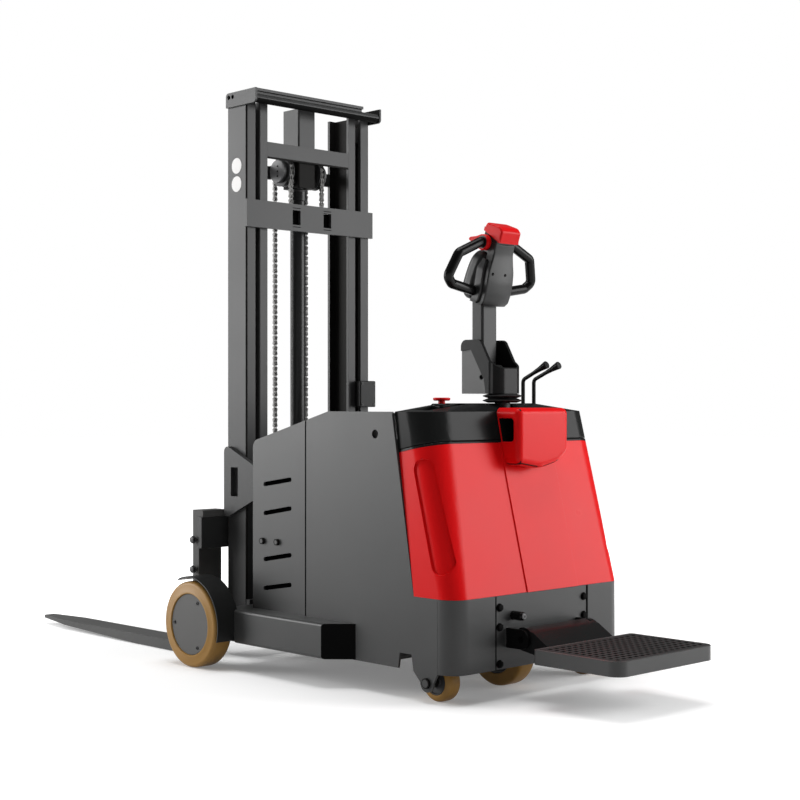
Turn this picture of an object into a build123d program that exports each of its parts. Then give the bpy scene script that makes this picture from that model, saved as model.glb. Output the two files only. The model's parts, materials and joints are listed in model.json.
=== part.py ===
"""Counterbalanced pedestrian stacker: two-stage tilting mast, forks, tiller and fold-up platform.

Millimetres, +X right, +Y forward to the fork tips, +Z up, origin on the floor under the middle.
Places along the truck are distances ahead of the front axle; at() turns them into Y.
"""

import math
import os

from build123d import *

# Overall
FORK_LENGTH = 1070.0
PLATFORM_REAR = -1612.0

# Wheels
FRONT_WHEEL_D = 295.0
FRONT_WHEEL_W = 80.0
WHEEL_GAP = 9.0
HUB_D = 210.0
STUB_D = 40.0
RUN_FIT = 0.05
CASTER_D = 124.0
CASTER_W = 54.0
CASTER_GAP = 28.0
CASTER_AHEAD = -1012.0
CASTER_BOLT_D = 20.0
DRIVE_D = 230.0
DRIVE_W = 75.0
STEER_AHEAD = -953.0

# Mast rails
MAST_REAR = 8.0
OUTER_HALF = 294.0
OUTER_DEPTH = 110.0
OUTER_FLANGE = 42.0
OUTER_FLANGE_T = 14.0
OUTER_WEB_T = 10.0
OUTER_BOTTOM = 60.0
RAIL_GAP = 20.0
INNER_SETBACK = 4.0
INNER_DEPTH = 120.0
INNER_FLANGE = 37.0
INNER_FLANGE_T = 12.0
INNER_WEB_T = 8.0
INNER_BOTTOM = 82.0
INNER_TOP_DROP = 5.0
RAIL_EDGE_R = 5.0
PAD_DROP = 30.0
PAD_H = 60.0

# Mast ties
TIE_DROP = 175.0
TIE_H = 98.0
TIE_T = 14.0
WINDOW_W = 37.0
WINDOW_H = 53.0
END_PLATE_T = 8.0
END_PLATE_H = 52.0
TOP_PLATE_Z = 2010.0
RAIL_DROP = 20.0
TOP_PLATE_T = 10.0
TOP_PLATE_END = 215.0
TOP_BAR_D = 32.0
TOP_BAR_AHEAD = -36.0
TOP_BAR_DROP = 24.0
BASE_BEAM_T = 18.0
BASE_BEAM_Z = 90.0
BASE_BEAM_H = 120.0
FOOT_T = 18.0

# Mast pivot and tilt
PIVOT_AHEAD = -36.0
PIVOT_Z = 150.0
PIVOT_D = 24.0
PIVOT_LUG_R = 20.0
PIVOT_LUG_INSET = 56.0
PIVOT_LUG_T = 20.0
LUG_GAP = 2.0
BRACKET_T = 18.0
TILT_PIN_AHEAD = -110.0
TILT_PIN_Z = 627.0
TILT_PIN_D = 20.0
TILT_EYE_PLAY = 1.5
TILT_EYE_R = 23.0
TILT_EYE_W = 24.0
TILT_BAY = 82.0
TILT_LENGTH = 320.0
TILT_BARREL_D = 58.0
TILT_ROD_D = 28.0

# Lift cylinder, chains and sheaves
LIFT_AHEAD = 75.0
BARREL_D = 57.0
ROD_D = 45.0
BARREL_DROP = 68.0
ROD_BOTTOM = 420.0
SHEAVE_X = 74.0
SHEAVE_AHEAD = 73.0
SHEAVE_DROP = 227.0
CHEEK_UP = 39.0
CHEEK_DOWN = 40.0
CHEEK_R = 42.0
SHEAVE_PITCH_R = 46.0
SHEAVE_FLANGE_R = 54.0
SHEAVE_W = 24.0
SHEAVE_PIN_D = 24.0
CHAIN_W = 15.0
CHAIN_T = 12.0
CHAIN_GAP = 0.4
POST_HALF = 40.0
POST_GAP = 10.0
CROSSBAR_RISE = 32.0
CROSSBAR_H = 58.0
CROSSBAR_T = 11.0

# Carriage and forks
BAR_GAP = 2.5
BAR_T = 24.0
BAR_END = 6.0
UPPER_BAR_Z = 388.0
UPPER_BAR_H = 112.0
LOWER_BAR_Z = 130.0
LOWER_BAR_H = 60.0
SIDE_PLATE_T = 20.0
SIDE_PLATE_GAP = 25.0
ROLLER_W = 25.0
ROLLER_PIN_D = 25.0
ROLLER_PLAY = 0.5
CARRIAGE_ROLLER_LOW = 165.0
CARRIAGE_ROLLER_HIGH = 400.0
INNER_ROLLER_Z = 150.0
FORK_GAP = 0.5
FORK_IN = 291.0
FORK_W = 100.0
SHANK_T = 36.0
BLADE_T = 38.0
BLADE_TIP_T = 12.0
FORK_CLEAR = 2.0
HOOK_TOP = 524.0

# Chassis
PANEL_T = 8.0
PANEL_FRONT = -167.0
PANEL_BOTTOM = 93.0
PANEL_FRONT_Z = 778.0
SLOPE_END = -558.0
BODY_TOP = 881.0
SEAM = -446.0
SEAM_GAP = 2.0
HOOD_FRONT_TOP = -858.0
HOOD_FRONT_LOW = -956.0
HOOD_LOW_Z = 319.0
SLOT_W = 15.0
BEAM_W = 78.0
BEAM_Z = 95.0
BEAM_H = 113.0
ARM_W = 58.0
GUARD_R = 160.0
GUARD_T = 5.0
AXLE_BEAM_REAR = -165.0
AXLE_BEAM_FRONT = -75.0
FLOOR_T = 10.0
LINER_TOP = 700.0
TURNTABLE_Z = 330.0
TURNTABLE_T = 15.0

# Hood
HOOD_REAR_LOW = -1126.0
HOOD_REAR_TOP = -1004.0
HOOD_DRAW_IN = 13.0
HOOD_TOP_Z = 907.0
CROWN_HALF = 190.0
CROWN_REAR = -950.0
CROWN_CORNER = 60.0
DECK_T = 9.0
HOOD_CORNER_LOW = 65.0
HOOD_CORNER_TOP = 100.0
HOOD_T = 12.0
SPLIT_Z = 755.0
PANEL_PROUD = 4.0
RECESS_W = 66.0
RECESS_DEEP = 7.0
SPLIT_RISE = 29.0
BOX_LEFT = -88.0
BOX_RIGHT = 155.0
BOX_KEEL_X = 22.0
BOX_ROUND = 20.0
BOX_REAR = -1104.0
BOX_TOP = 893.0
BOX_LOW = 700.0
BOX_T = 6.0

# Platform
COVER_HALF = 220.0
PLATFORM_HALF = 235.0
PLATFORM_CORNER = 42.0
PLATFORM_FRONT = -1290.0
PLATFORM_Z = 134.0
PLATFORM_T = 44.0
HINGE_AHEAD = -1184.0
HINGE_Z = 188.0
HINGE_R = 36.0
HINGE_PIN_D = 20.0
ARM_X = 140.0
ARM_T = 16.0
ARM_GAP = 3.0
LUG_T = 12.0
STUD_X = -138.0
STUD_Z = 254.0
STUD_D = 28.0
STUD_END = -1168.0

# Tiller and controls
COLUMN_D = 50.0
COLUMN_HOLE_D = 70.0
TILLER_HALF = 64.0
TILLER_FRONT = -828.0
TILLER_REAR = -990.0
TILLER_Z = 938.0
TILLER_TOP = 1113.0
TILLER_RIM = 24.0
RIM_PROUD = 5.0
CHEEK_T = 7.0
BOOT_R = 64.0
BOOT_WAIST_R = 46.0
TILLER_T = 6.0
TILLER_LIP_Z = 1018.0
TILLER_PIVOT_AHEAD = -915.0
TILLER_PIVOT_Z = 991.0
TILLER_PIN_D = 16.0
STEM_HALF = 35.0
STEM_FRONT = -848.0
STEM_REAR = -898.0
HEAD_Z = 1234.0
HEAD_TOP = 1440.0
HEAD_HALF = 72.0
HEAD_LEAN = 20.0
NECK_HALF = 44.0
NECK_LENGTH = 55.0
GRIP_D = 32.0
GRIP_OUT = 198.0
GRIP_FORWARD = 14.0
WING_AHEAD = 17.0
WING_RISE = 197.0
WING_GAP = 3.0
WING_W = 19.0
WING_R = 25.0
BOSS_R = 20.5
BUTTON_HALF = 46.0
BUTTON_GAP = 8.0
LEVER_X = (176.0, 230.0)
LEVER_AHEAD = -885.0
LEVER_Z = 868.0
LEVER_D = 13.0
KNOB_D = 27.0
LEVER_PIVOT_D = 10.0
STOP_X = -215.0
STOP_AHEAD = -890.0
STOP_TOP = 925.0
STOP_D = 56.0
STOP_STEM_D = 22.0

# Derived places
OUTER_TOP = TOP_PLATE_Z - RAIL_DROP
INNER_TOP = OUTER_TOP - INNER_TOP_DROP
MAST_TOP = TOP_PLATE_Z + TOP_PLATE_T
END_PLATE_Z = MAST_TOP - END_PLATE_H
TOP_BAR_Z = TOP_PLATE_Z - TOP_BAR_DROP
SHEAVE_Z = INNER_TOP - SHEAVE_DROP
TIE_Z = SHEAVE_Z - TIE_DROP
BARREL_TOP = SHEAVE_Z - BARREL_DROP
POST_BOTTOM = BARREL_TOP + POST_GAP
CROSSBAR_Z = SHEAVE_Z + CROSSBAR_RISE
CHEEK_TOP = SHEAVE_Z + CHEEK_UP
CHEEK_LOW = SHEAVE_Z - CHEEK_DOWN
INNER_REAR = MAST_REAR + INNER_SETBACK
INNER_FRONT = INNER_REAR + INNER_DEPTH
BAR_REAR = INNER_FRONT + BAR_GAP
SHANK_REAR = BAR_REAR + BAR_T + FORK_GAP
FORK_TIP = SHANK_REAR + SHANK_T + FORK_LENGTH
AXLE_Y = -(PLATFORM_REAR + FORK_TIP) / 2
AXLE_Z = FRONT_WHEEL_D / 2
INNER_HALF = OUTER_HALF - OUTER_FLANGE - RAIL_GAP
INNER_TIP = INNER_HALF - INNER_FLANGE
INNER_MID = INNER_REAR + INNER_DEPTH / 2
RAIL_MID = MAST_REAR + OUTER_DEPTH / 2
MAST_FRONT = MAST_REAR + OUTER_DEPTH
BRACKET_FACE = OUTER_HALF + BRACKET_T
TILT_X = BRACKET_FACE + TILT_BARREL_D / 2 + 1
PANEL_IN = BRACKET_FACE + TILT_BAY
BODY_HALF = PANEL_IN + PANEL_T
ARM_OUT = BODY_HALF + ARM_W
TRUCK_HALF = ARM_OUT + WHEEL_GAP + FRONT_WHEEL_W
CASTER_FACE = PANEL_IN - CASTER_GAP
PIVOT_LUG_X = OUTER_HALF - PIVOT_LUG_INSET
SIDE_PLATE_X = INNER_TIP - SIDE_PLATE_GAP - SIDE_PLATE_T
BAR_HALF = FORK_IN + FORK_W + BAR_END
HOOD_HALF_TOP = BODY_HALF - HOOD_DRAW_IN
OUTER_ROLLER_R = OUTER_DEPTH / 2 - OUTER_FLANGE_T - ROLLER_PLAY
INNER_ROLLER_R = INNER_DEPTH / 2 - INNER_FLANGE_T - ROLLER_PLAY
CHAIN_FRONT = SHEAVE_AHEAD + SHEAVE_PITCH_R
CHAIN_REAR = SHEAVE_AHEAD - SHEAVE_PITCH_R
SPLIT_FRONT = HOOD_FRONT_TOP - 20.0
DECK_LOW = BODY_TOP - DECK_T

os.makedirs("parts", exist_ok=True)


def at(ahead):
    return AXLE_Y + ahead


def block(x0, x1, y0, y1, z0, z1):
    return Pos((x0 + x1) / 2, (y0 + y1) / 2, (z0 + z1) / 2) * Box(x1 - x0, y1 - y0, z1 - z0)


def prism_x(points, x0, x1):
    """Profile of (ahead, z) points, drawn out along X."""
    outline = [(at(ahead), z) for ahead, z in points]
    face = make_face(Polyline(*outline, close=True))
    return extrude(Plane.YZ.offset(x0) * face, x1 - x0, dir=(1, 0, 0))


def prism_z(points, z0, z1):
    """Profile of (x, ahead) points, drawn out along Z."""
    outline = [(x, at(ahead)) for x, ahead in points]
    face = make_face(Polyline(*outline, close=True))
    return extrude(Pos(0, 0, z0) * face, z1 - z0, dir=(0, 0, 1))


def rod_x(ahead, z, radius, x0, x1):
    return Pos((x0 + x1) / 2, at(ahead), z) * Rot(0, 90, 0) * Cylinder(radius, x1 - x0)


def rod_y(x, z, radius, ahead0, ahead1):
    return Pos(x, at((ahead0 + ahead1) / 2), z) * Rot(90, 0, 0) * Cylinder(radius, ahead1 - ahead0)


def rod_z(x, ahead, radius, z0, z1):
    return Pos(x, at(ahead), (z0 + z1) / 2) * Cylinder(radius, z1 - z0)


def slab(x0, x1, ahead0, ahead1, z0, z1):
    return block(x0, x1, at(ahead0), at(ahead1), z0, z1)


def pair(right):
    return [right, mirror(right, about=Plane.YZ)]


def round_x(solid, radius, *corners):
    """Rounds the edges along X that pass through the (ahead, z) corners."""
    edges = [
        edge
        for edge in solid.edges().filter_by(Axis.X)
        for ahead, z in corners
        if abs(edge.center().Y - at(ahead)) < 0.01 and abs(edge.center().Z - z) < 0.01
    ]
    return fillet(edges, radius)


def round_z(solid, radius, *corners):
    """Rounds the upright edges that pass through the (x, ahead) corners."""
    edges = [
        edge
        for edge in solid.edges().filter_by(Axis.Z)
        for x, ahead in corners
        if abs(edge.center().X - x) < 0.01 and abs(edge.center().Y - at(ahead)) < 0.01
    ]
    return fillet(edges, radius)


def slot_x(ahead0, z0, ahead1, z1, width, x0, x1):
    """Round-ended slot between two (ahead, z) points, cut along X."""
    run = math.hypot(ahead1 - ahead0, z1 - z0)
    across_a = -(z1 - z0) / run * width / 2
    across_z = (ahead1 - ahead0) / run * width / 2
    middle = prism_x(
        [
            (ahead0 + across_a, z0 + across_z),
            (ahead1 + across_a, z1 + across_z),
            (ahead1 - across_a, z1 - across_z),
            (ahead0 - across_a, z0 - across_z),
        ],
        x0,
        x1,
    )
    return middle + rod_x(ahead0, z0, width / 2, x0, x1) + rod_x(ahead1, z1, width / 2, x0, x1)


def channel(half, flange, thick, web, rear, depth, z0, z1):
    """Right-hand rail with its web outside and its opening towards the middle."""
    front = rear + depth
    tip = half - flange
    rail = prism_z(
        [
            (half, rear),
            (half, front),
            (tip, front),
            (tip, front - thick),
            (half - web, front - thick),
            (half - web, rear + thick),
            (tip, rear + thick),
            (tip, rear),
        ],
        z0,
        z1,
    )
    return round_z(rail, RAIL_EDGE_R, (half, rear), (half, front))


def save(node, *shapes):
    solids = [solid for shape in shapes for solid in shape.solids()]
    export_step(solids[0] if len(solids) == 1 else Compound(children=solids), f"parts/{node}.step")


# Outer mast

outer_rail = channel(
    OUTER_HALF, OUTER_FLANGE, OUTER_FLANGE_T, OUTER_WEB_T, MAST_REAR, OUTER_DEPTH, OUTER_BOTTOM, OUTER_TOP
)
save("outer_rails", *pair(outer_rail))

cross_plate = slab(
    -OUTER_HALF - END_PLATE_T, OUTER_HALF + END_PLATE_T, MAST_REAR - TIE_T, MAST_REAR,
    TIE_Z - TIE_H / 2, TIE_Z + TIE_H / 2,
)
for side in (-1, 1):
    cross_plate -= slab(
        side * SHEAVE_X - WINDOW_W / 2, side * SHEAVE_X + WINDOW_W / 2, MAST_REAR - TIE_T - 1, MAST_REAR + 1,
        TIE_Z - WINDOW_H / 2, TIE_Z + WINDOW_H / 2,
    )
end_plate = prism_x(
    [
        (TOP_BAR_AHEAD - 18, END_PLATE_Z),
        (MAST_FRONT, END_PLATE_Z),
        (MAST_FRONT, MAST_TOP),
        (TOP_BAR_AHEAD - 18, MAST_TOP),
    ],
    OUTER_HALF,
    OUTER_HALF + END_PLATE_T,
)
end_plate = round_x(end_plate, 14, (MAST_FRONT, MAST_TOP), (TOP_BAR_AHEAD - 18, END_PLATE_Z))
for ahead in (MAST_FRONT - 18, MAST_FRONT - 40):
    end_plate -= rod_x(ahead, MAST_TOP - 16, 6, OUTER_HALF - 1, OUTER_HALF + END_PLATE_T + 1)
top_bar = rod_x(TOP_BAR_AHEAD, TOP_BAR_Z, TOP_BAR_D / 2, -OUTER_HALF, OUTER_HALF)
top_plate = slab(
    -OUTER_HALF, TOP_PLATE_END, TOP_BAR_AHEAD - 14, MAST_REAR - 2,
    TOP_PLATE_Z, MAST_TOP,
)
top_plate += slab(
    -OUTER_HALF, TOP_PLATE_END, TOP_BAR_AHEAD - 5, TOP_BAR_AHEAD + 5,
    TOP_BAR_Z + TOP_BAR_D / 2 - 2, TOP_PLATE_Z + 1,
)
top_plate -= top_bar
base_beam = slab(
    -OUTER_HALF, OUTER_HALF, MAST_REAR - BASE_BEAM_T, MAST_REAR, BASE_BEAM_Z, BASE_BEAM_Z + BASE_BEAM_H
)
for side in (-1, 1):
    x0 = side * (PIVOT_LUG_X + PIVOT_LUG_T / 2) - PIVOT_LUG_T / 2
    x1 = x0 + PIVOT_LUG_T
    base_beam += slab(x0, x1, PIVOT_AHEAD, MAST_REAR - 1, PIVOT_Z - PIVOT_LUG_R, PIVOT_Z + PIVOT_LUG_R)
    base_beam += rod_x(PIVOT_AHEAD, PIVOT_Z, PIVOT_LUG_R, x0, x1)
    base_beam -= rod_x(PIVOT_AHEAD, PIVOT_Z, PIVOT_D / 2 + RUN_FIT, x0 - 1, x1 + 1)
foot = slab(
    -OUTER_HALF + OUTER_WEB_T, OUTER_HALF - OUTER_WEB_T,
    MAST_REAR + OUTER_FLANGE_T, MAST_FRONT - OUTER_FLANGE_T,
    OUTER_BOTTOM, OUTER_BOTTOM + FOOT_T,
)
save("mast_ties", cross_plate, *pair(end_plate), top_bar, top_plate, base_beam, foot)

bracket_x0 = OUTER_HALF
bracket_x1 = OUTER_HALF + BRACKET_T
bracket_front = MAST_FRONT - 2
bracket = prism_x(
    [
        (bracket_front, 490),
        (bracket_front, 762),
        (TILT_PIN_AHEAD - 10, TILT_PIN_Z + 33),
        (TILT_PIN_AHEAD - 10, TILT_PIN_Z - 33),
    ],
    bracket_x0,
    bracket_x1,
)
bracket = round_x(bracket, 20, (bracket_front, 490), (bracket_front, 762))
bracket += rod_x(TILT_PIN_AHEAD - 2, TILT_PIN_Z, 33, bracket_x0, bracket_x1)
bracket -= slab(bracket_x0 - 1, bracket_x1 + 1, 34, 75, 575, 678)
bracket += rod_x(TILT_PIN_AHEAD, TILT_PIN_Z, TILT_PIN_D / 2, bracket_x0, TILT_X + TILT_EYE_W / 2 + 6)
save("tilt_brackets", *pair(bracket))

barrel = rod_z(0, LIFT_AHEAD, BARREL_D / 2, OUTER_BOTTOM + FOOT_T, BARREL_TOP)
barrel += rod_z(0, LIFT_AHEAD, BARREL_D / 2 + 4, BARREL_TOP - 34, BARREL_TOP)
barrel -= rod_z(0, LIFT_AHEAD, ROD_D / 2 + RUN_FIT, ROD_BOTTOM - 30, BARREL_TOP + 1)
save("lift_barrel", barrel)

anchor_z = TIE_Z + WINDOW_H / 2
anchor = slab(
    SHEAVE_X - WINDOW_W / 2 - 4, SHEAVE_X + WINDOW_W / 2 + 4, MAST_REAR, CHAIN_REAR + CHAIN_T / 2,
    TIE_Z - WINDOW_H / 2 - 6, anchor_z,
)
save("chain_anchors", *pair(anchor))
rear_chain = slab(
    SHEAVE_X - CHAIN_W / 2, SHEAVE_X + CHAIN_W / 2, CHAIN_REAR - CHAIN_T / 2, CHAIN_REAR + CHAIN_T / 2,
    anchor_z, SHEAVE_Z,
)
save("rear_chains", *pair(rear_chain))

limit_box = slab(OUTER_HALF - 72, OUTER_HALF + 6, MAST_REAR - 34, MAST_REAR, 892, 991)
limit_box = fillet(limit_box.edges(), 4)
save("limit_box", limit_box)

pad_top = OUTER_TOP - PAD_DROP
pad = slab(
    INNER_HALF + 0.3, OUTER_HALF - OUTER_WEB_T, RAIL_MID - 18, RAIL_MID + 18, pad_top - PAD_H, pad_top
)
save("guide_pads", *pair(pad))

# Inner mast

inner_rail = channel(
    INNER_HALF, INNER_FLANGE, INNER_FLANGE_T, INNER_WEB_T, INNER_REAR, INNER_DEPTH, INNER_BOTTOM, INNER_TOP
)
inner_rail += rod_x(
    RAIL_MID, INNER_ROLLER_Z, ROLLER_PIN_D / 2, INNER_HALF - INNER_WEB_T / 2, INNER_HALF + 5 + ROLLER_W + 10
)
save("inner_rails", *pair(inner_rail))

tip = INNER_TIP
crossbar = slab(-tip, tip, INNER_REAR, INNER_REAR + CROSSBAR_T, CROSSBAR_Z, CROSSBAR_Z + CROSSBAR_H)
lower_tie = slab(-tip, tip, INNER_REAR, INNER_REAR + CROSSBAR_T, 110, 190)
post = slab(
    -POST_HALF, POST_HALF, INNER_REAR + CROSSBAR_T, MAST_FRONT - 3, POST_BOTTOM, INNER_TOP + 5
)
post = fillet(post.edges().filter_by(Axis.Z), 6)
inner_cheek = slab(
    POST_HALF, SHEAVE_X - SHEAVE_W / 2 - 4, SHEAVE_AHEAD - 33, SHEAVE_AHEAD + 33, CHEEK_LOW, CHEEK_TOP
)
outer_x0 = SHEAVE_X + SHEAVE_W / 2 + 2
arm_half = 24.0
outer_cheek = rod_x(SHEAVE_AHEAD, SHEAVE_Z, CHEEK_R, outer_x0, outer_x0 + 12)
outer_cheek += slab(
    outer_x0, outer_x0 + 12, SHEAVE_AHEAD, INNER_FRONT, SHEAVE_Z - arm_half, SHEAVE_Z + arm_half
)
outer_cheek += slab(
    outer_x0 + 11, tip, INNER_FRONT - INNER_FLANGE_T, INNER_FRONT, SHEAVE_Z - arm_half, SHEAVE_Z + arm_half
)
for rise in (-18, 0, 18):
    outer_cheek -= rod_x(SHEAVE_AHEAD - 4, SHEAVE_Z + rise, 3, outer_x0 + 8, outer_x0 + 13)
sheave_pin = rod_x(
    SHEAVE_AHEAD, SHEAVE_Z, SHEAVE_PIN_D / 2, SHEAVE_X - SHEAVE_W / 2 - 4, SHEAVE_X + SHEAVE_W / 2 + 2
)
save("inner_ties", crossbar, lower_tie, post, *pair(inner_cheek), *pair(outer_cheek), *pair(sheave_pin))

save("lift_rod", rod_z(0, LIFT_AHEAD, ROD_D / 2, ROD_BOTTOM, POST_BOTTOM))

groove_r = SHEAVE_PITCH_R - CHAIN_T / 2 - CHAIN_GAP
sheave = rod_x(
    SHEAVE_AHEAD, SHEAVE_Z, SHEAVE_FLANGE_R, SHEAVE_X - SHEAVE_W / 2 + 0.5, SHEAVE_X + SHEAVE_W / 2 - 0.5
)
groove_half = CHAIN_W / 2 + 0.5
groove = rod_x(SHEAVE_AHEAD, SHEAVE_Z, SHEAVE_FLANGE_R + 1, SHEAVE_X - groove_half, SHEAVE_X + groove_half)
groove -= rod_x(SHEAVE_AHEAD, SHEAVE_Z, groove_r, SHEAVE_X - SHEAVE_W, SHEAVE_X + SHEAVE_W)
sheave -= groove
sheave -= rod_x(SHEAVE_AHEAD, SHEAVE_Z, SHEAVE_PIN_D / 2 + RUN_FIT, SHEAVE_X - SHEAVE_W, SHEAVE_X + SHEAVE_W)
save("sheaves", *pair(sheave))

wrap_x0 = SHEAVE_X - CHAIN_W / 2
wrap_x1 = SHEAVE_X + CHAIN_W / 2
wrap = rod_x(SHEAVE_AHEAD, SHEAVE_Z, SHEAVE_PITCH_R + CHAIN_T / 2, wrap_x0, wrap_x1)
wrap -= rod_x(SHEAVE_AHEAD, SHEAVE_Z, SHEAVE_PITCH_R - CHAIN_T / 2, wrap_x0 - 1, wrap_x1 + 1)
wrap -= slab(wrap_x0 - 1, wrap_x1 + 1, SHEAVE_AHEAD - 99, SHEAVE_AHEAD + 99, SHEAVE_Z - 99, SHEAVE_Z)
save("chain_wraps", *pair(wrap))

roller_x = INNER_HALF + 5
inner_roller = rod_x(RAIL_MID, INNER_ROLLER_Z, OUTER_ROLLER_R, roller_x, roller_x + ROLLER_W)
inner_roller -= rod_x(
    RAIL_MID, INNER_ROLLER_Z, ROLLER_PIN_D / 2 + RUN_FIT, roller_x - 1, roller_x + ROLLER_W + 1
)
save("inner_rollers", *pair(inner_roller))

# Carriage and forks

side_plate_x1 = SIDE_PLATE_X + SIDE_PLATE_T
roller_x0 = tip + 2
roller_x1 = roller_x0 + ROLLER_W
side_plate = slab(SIDE_PLATE_X, side_plate_x1, INNER_MID - 32, BAR_REAR, 110, UPPER_BAR_Z + UPPER_BAR_H)
for z in (CARRIAGE_ROLLER_LOW, CARRIAGE_ROLLER_HIGH):
    side_plate += rod_x(INNER_MID, z, ROLLER_PIN_D / 2, side_plate_x1 - 2, roller_x1)
save("carriage_frame", *pair(side_plate))

upper_bar = slab(
    -BAR_HALF, BAR_HALF, BAR_REAR, BAR_REAR + BAR_T, UPPER_BAR_Z, UPPER_BAR_Z + UPPER_BAR_H
)
lower_bar = slab(
    -BAR_HALF, BAR_HALF, BAR_REAR, BAR_REAR + BAR_T, LOWER_BAR_Z, LOWER_BAR_Z + LOWER_BAR_H
)
upright = slab(
    SIDE_PLATE_X - 20, side_plate_x1 + 20, BAR_REAR, BAR_REAR + BAR_T, LOWER_BAR_Z + LOWER_BAR_H, UPPER_BAR_Z
)
bar_top = UPPER_BAR_Z + UPPER_BAR_H
carriage_anchor = slab(
    SHEAVE_X - 12, SHEAVE_X + 12, CHAIN_FRONT - 10, BAR_REAR, bar_top - 50, bar_top + 40
)
save("carriage_bars", upper_bar, lower_bar, *pair(upright), *pair(carriage_anchor))

front_chain = slab(
    SHEAVE_X - CHAIN_W / 2, SHEAVE_X + CHAIN_W / 2, CHAIN_FRONT - CHAIN_T / 2, CHAIN_FRONT + CHAIN_T / 2,
    bar_top + 40, SHEAVE_Z,
)
save("front_chains", *pair(front_chain))

roller_heights = {"carriage_rollers_lower": CARRIAGE_ROLLER_LOW, "carriage_rollers_upper": CARRIAGE_ROLLER_HIGH}
for node, z in roller_heights.items():
    roller = rod_x(INNER_MID, z, INNER_ROLLER_R, roller_x0, roller_x1)
    roller -= rod_x(INNER_MID, z, ROLLER_PIN_D / 2 + RUN_FIT, roller_x0 - 1, roller_x1 + 1)
    save(node, *pair(roller))

shank_front = SHANK_REAR + SHANK_T
fork = prism_x(
    [
        (SHANK_REAR, FORK_CLEAR),
        (shank_front + FORK_LENGTH * 0.35, FORK_CLEAR),
        (FORK_TIP, FORK_CLEAR + BLADE_T - BLADE_TIP_T - 4),
        (FORK_TIP, FORK_CLEAR + BLADE_T - 4),
        (shank_front + FORK_LENGTH * 0.35, FORK_CLEAR + BLADE_T),
        (shank_front, FORK_CLEAR + BLADE_T),
        (shank_front, HOOK_TOP),
        (BAR_REAR + 0.5, HOOK_TOP),
        (BAR_REAR + 0.5, bar_top + FORK_GAP),
        (SHANK_REAR, bar_top + FORK_GAP),
    ],
    FORK_IN,
    FORK_IN + FORK_W,
)
fork = round_x(fork, 18, (shank_front, FORK_CLEAR + BLADE_T))
fork = round_x(fork, 26, (SHANK_REAR, FORK_CLEAR))
nose = 200.0
taper = 28.0
for edge_x, inside in ((FORK_IN, 1), (FORK_IN + FORK_W, -1)):
    fork -= prism_z(
        [(edge_x, FORK_TIP - nose), (edge_x + inside * taper, FORK_TIP), (edge_x, FORK_TIP + 1),
         (edge_x - inside, FORK_TIP + 1), (edge_x - inside, FORK_TIP - nose)],
        -1,
        BLADE_T + 20,
    )
lower_hook = slab(
    FORK_IN, FORK_IN + FORK_W, BAR_REAR + 4, SHANK_REAR, LOWER_BAR_Z - 14, LOWER_BAR_Z - FORK_GAP
)
fork += lower_hook
for z in (418, 312):
    fork += rod_x(SHANK_REAR + SHANK_T / 2, z, 9, FORK_IN + FORK_W, FORK_IN + FORK_W + 5)
save("fork_right", fork)
save("fork_left", mirror(fork, about=Plane.YZ))

# Tilt cylinders

eye_x0 = TILT_X - TILT_EYE_W / 2
eye_x1 = TILT_X + TILT_EYE_W / 2
tilt_rear = TILT_PIN_AHEAD - TILT_LENGTH
tilt_barrel = rod_y(TILT_X, TILT_PIN_Z, TILT_BARREL_D / 2, tilt_rear + 30, tilt_rear + 215)
tilt_barrel += rod_x(tilt_rear, TILT_PIN_Z, TILT_EYE_R, eye_x0, eye_x1)
tilt_barrel += slab(eye_x0, eye_x1, tilt_rear, tilt_rear + 31, TILT_PIN_Z - 14, TILT_PIN_Z + 14)
tilt_barrel -= rod_x(tilt_rear, TILT_PIN_Z, TILT_PIN_D / 2 + RUN_FIT, eye_x0 - 1, eye_x1 + 1)
tilt_barrel -= rod_y(TILT_X, TILT_PIN_Z, TILT_ROD_D / 2 + RUN_FIT, tilt_rear + 60, tilt_rear + 216)
save("tilt_barrels", *pair(tilt_barrel))
tilt_rod = rod_y(TILT_X, TILT_PIN_Z, TILT_ROD_D / 2, tilt_rear + 105, TILT_PIN_AHEAD - 16)
tilt_rod += rod_x(TILT_PIN_AHEAD, TILT_PIN_Z, TILT_EYE_R, eye_x0, eye_x1)
tilt_rod -= rod_x(TILT_PIN_AHEAD, TILT_PIN_Z, TILT_PIN_D / 2 + TILT_EYE_PLAY, eye_x0 - 1, eye_x1 + 1)
save("tilt_rods", *pair(tilt_rod))

# Running gear

wheel_in = TRUCK_HALF - FRONT_WHEEL_W
tyre = rod_x(0, AXLE_Z, FRONT_WHEEL_D / 2, wheel_in, TRUCK_HALF)
tyre = chamfer(tyre.edges().filter_by(GeomType.CIRCLE), 8)
tyre -= rod_x(0, AXLE_Z, HUB_D / 2, wheel_in - 1, TRUCK_HALF + 1)
save("front_tyre_right", tyre)
save("front_tyre_left", mirror(tyre, about=Plane.YZ))
hub = rod_x(0, AXLE_Z, HUB_D / 2, wheel_in + 4, TRUCK_HALF - 4)
stub_end = TRUCK_HALF - 20
hub -= rod_x(0, AXLE_Z, STUB_D / 2 + RUN_FIT, wheel_in, stub_end)
for turn in (0, 120, 240):
    screw_y = 88 * math.cos(math.radians(turn))
    screw_z = AXLE_Z + 88 * math.sin(math.radians(turn))
    hub += rod_x(screw_y, screw_z, 7, TRUCK_HALF - 4.5, TRUCK_HALF - 1)
save("front_hub_right", hub)
save("front_hub_left", mirror(hub, about=Plane.YZ))

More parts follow.
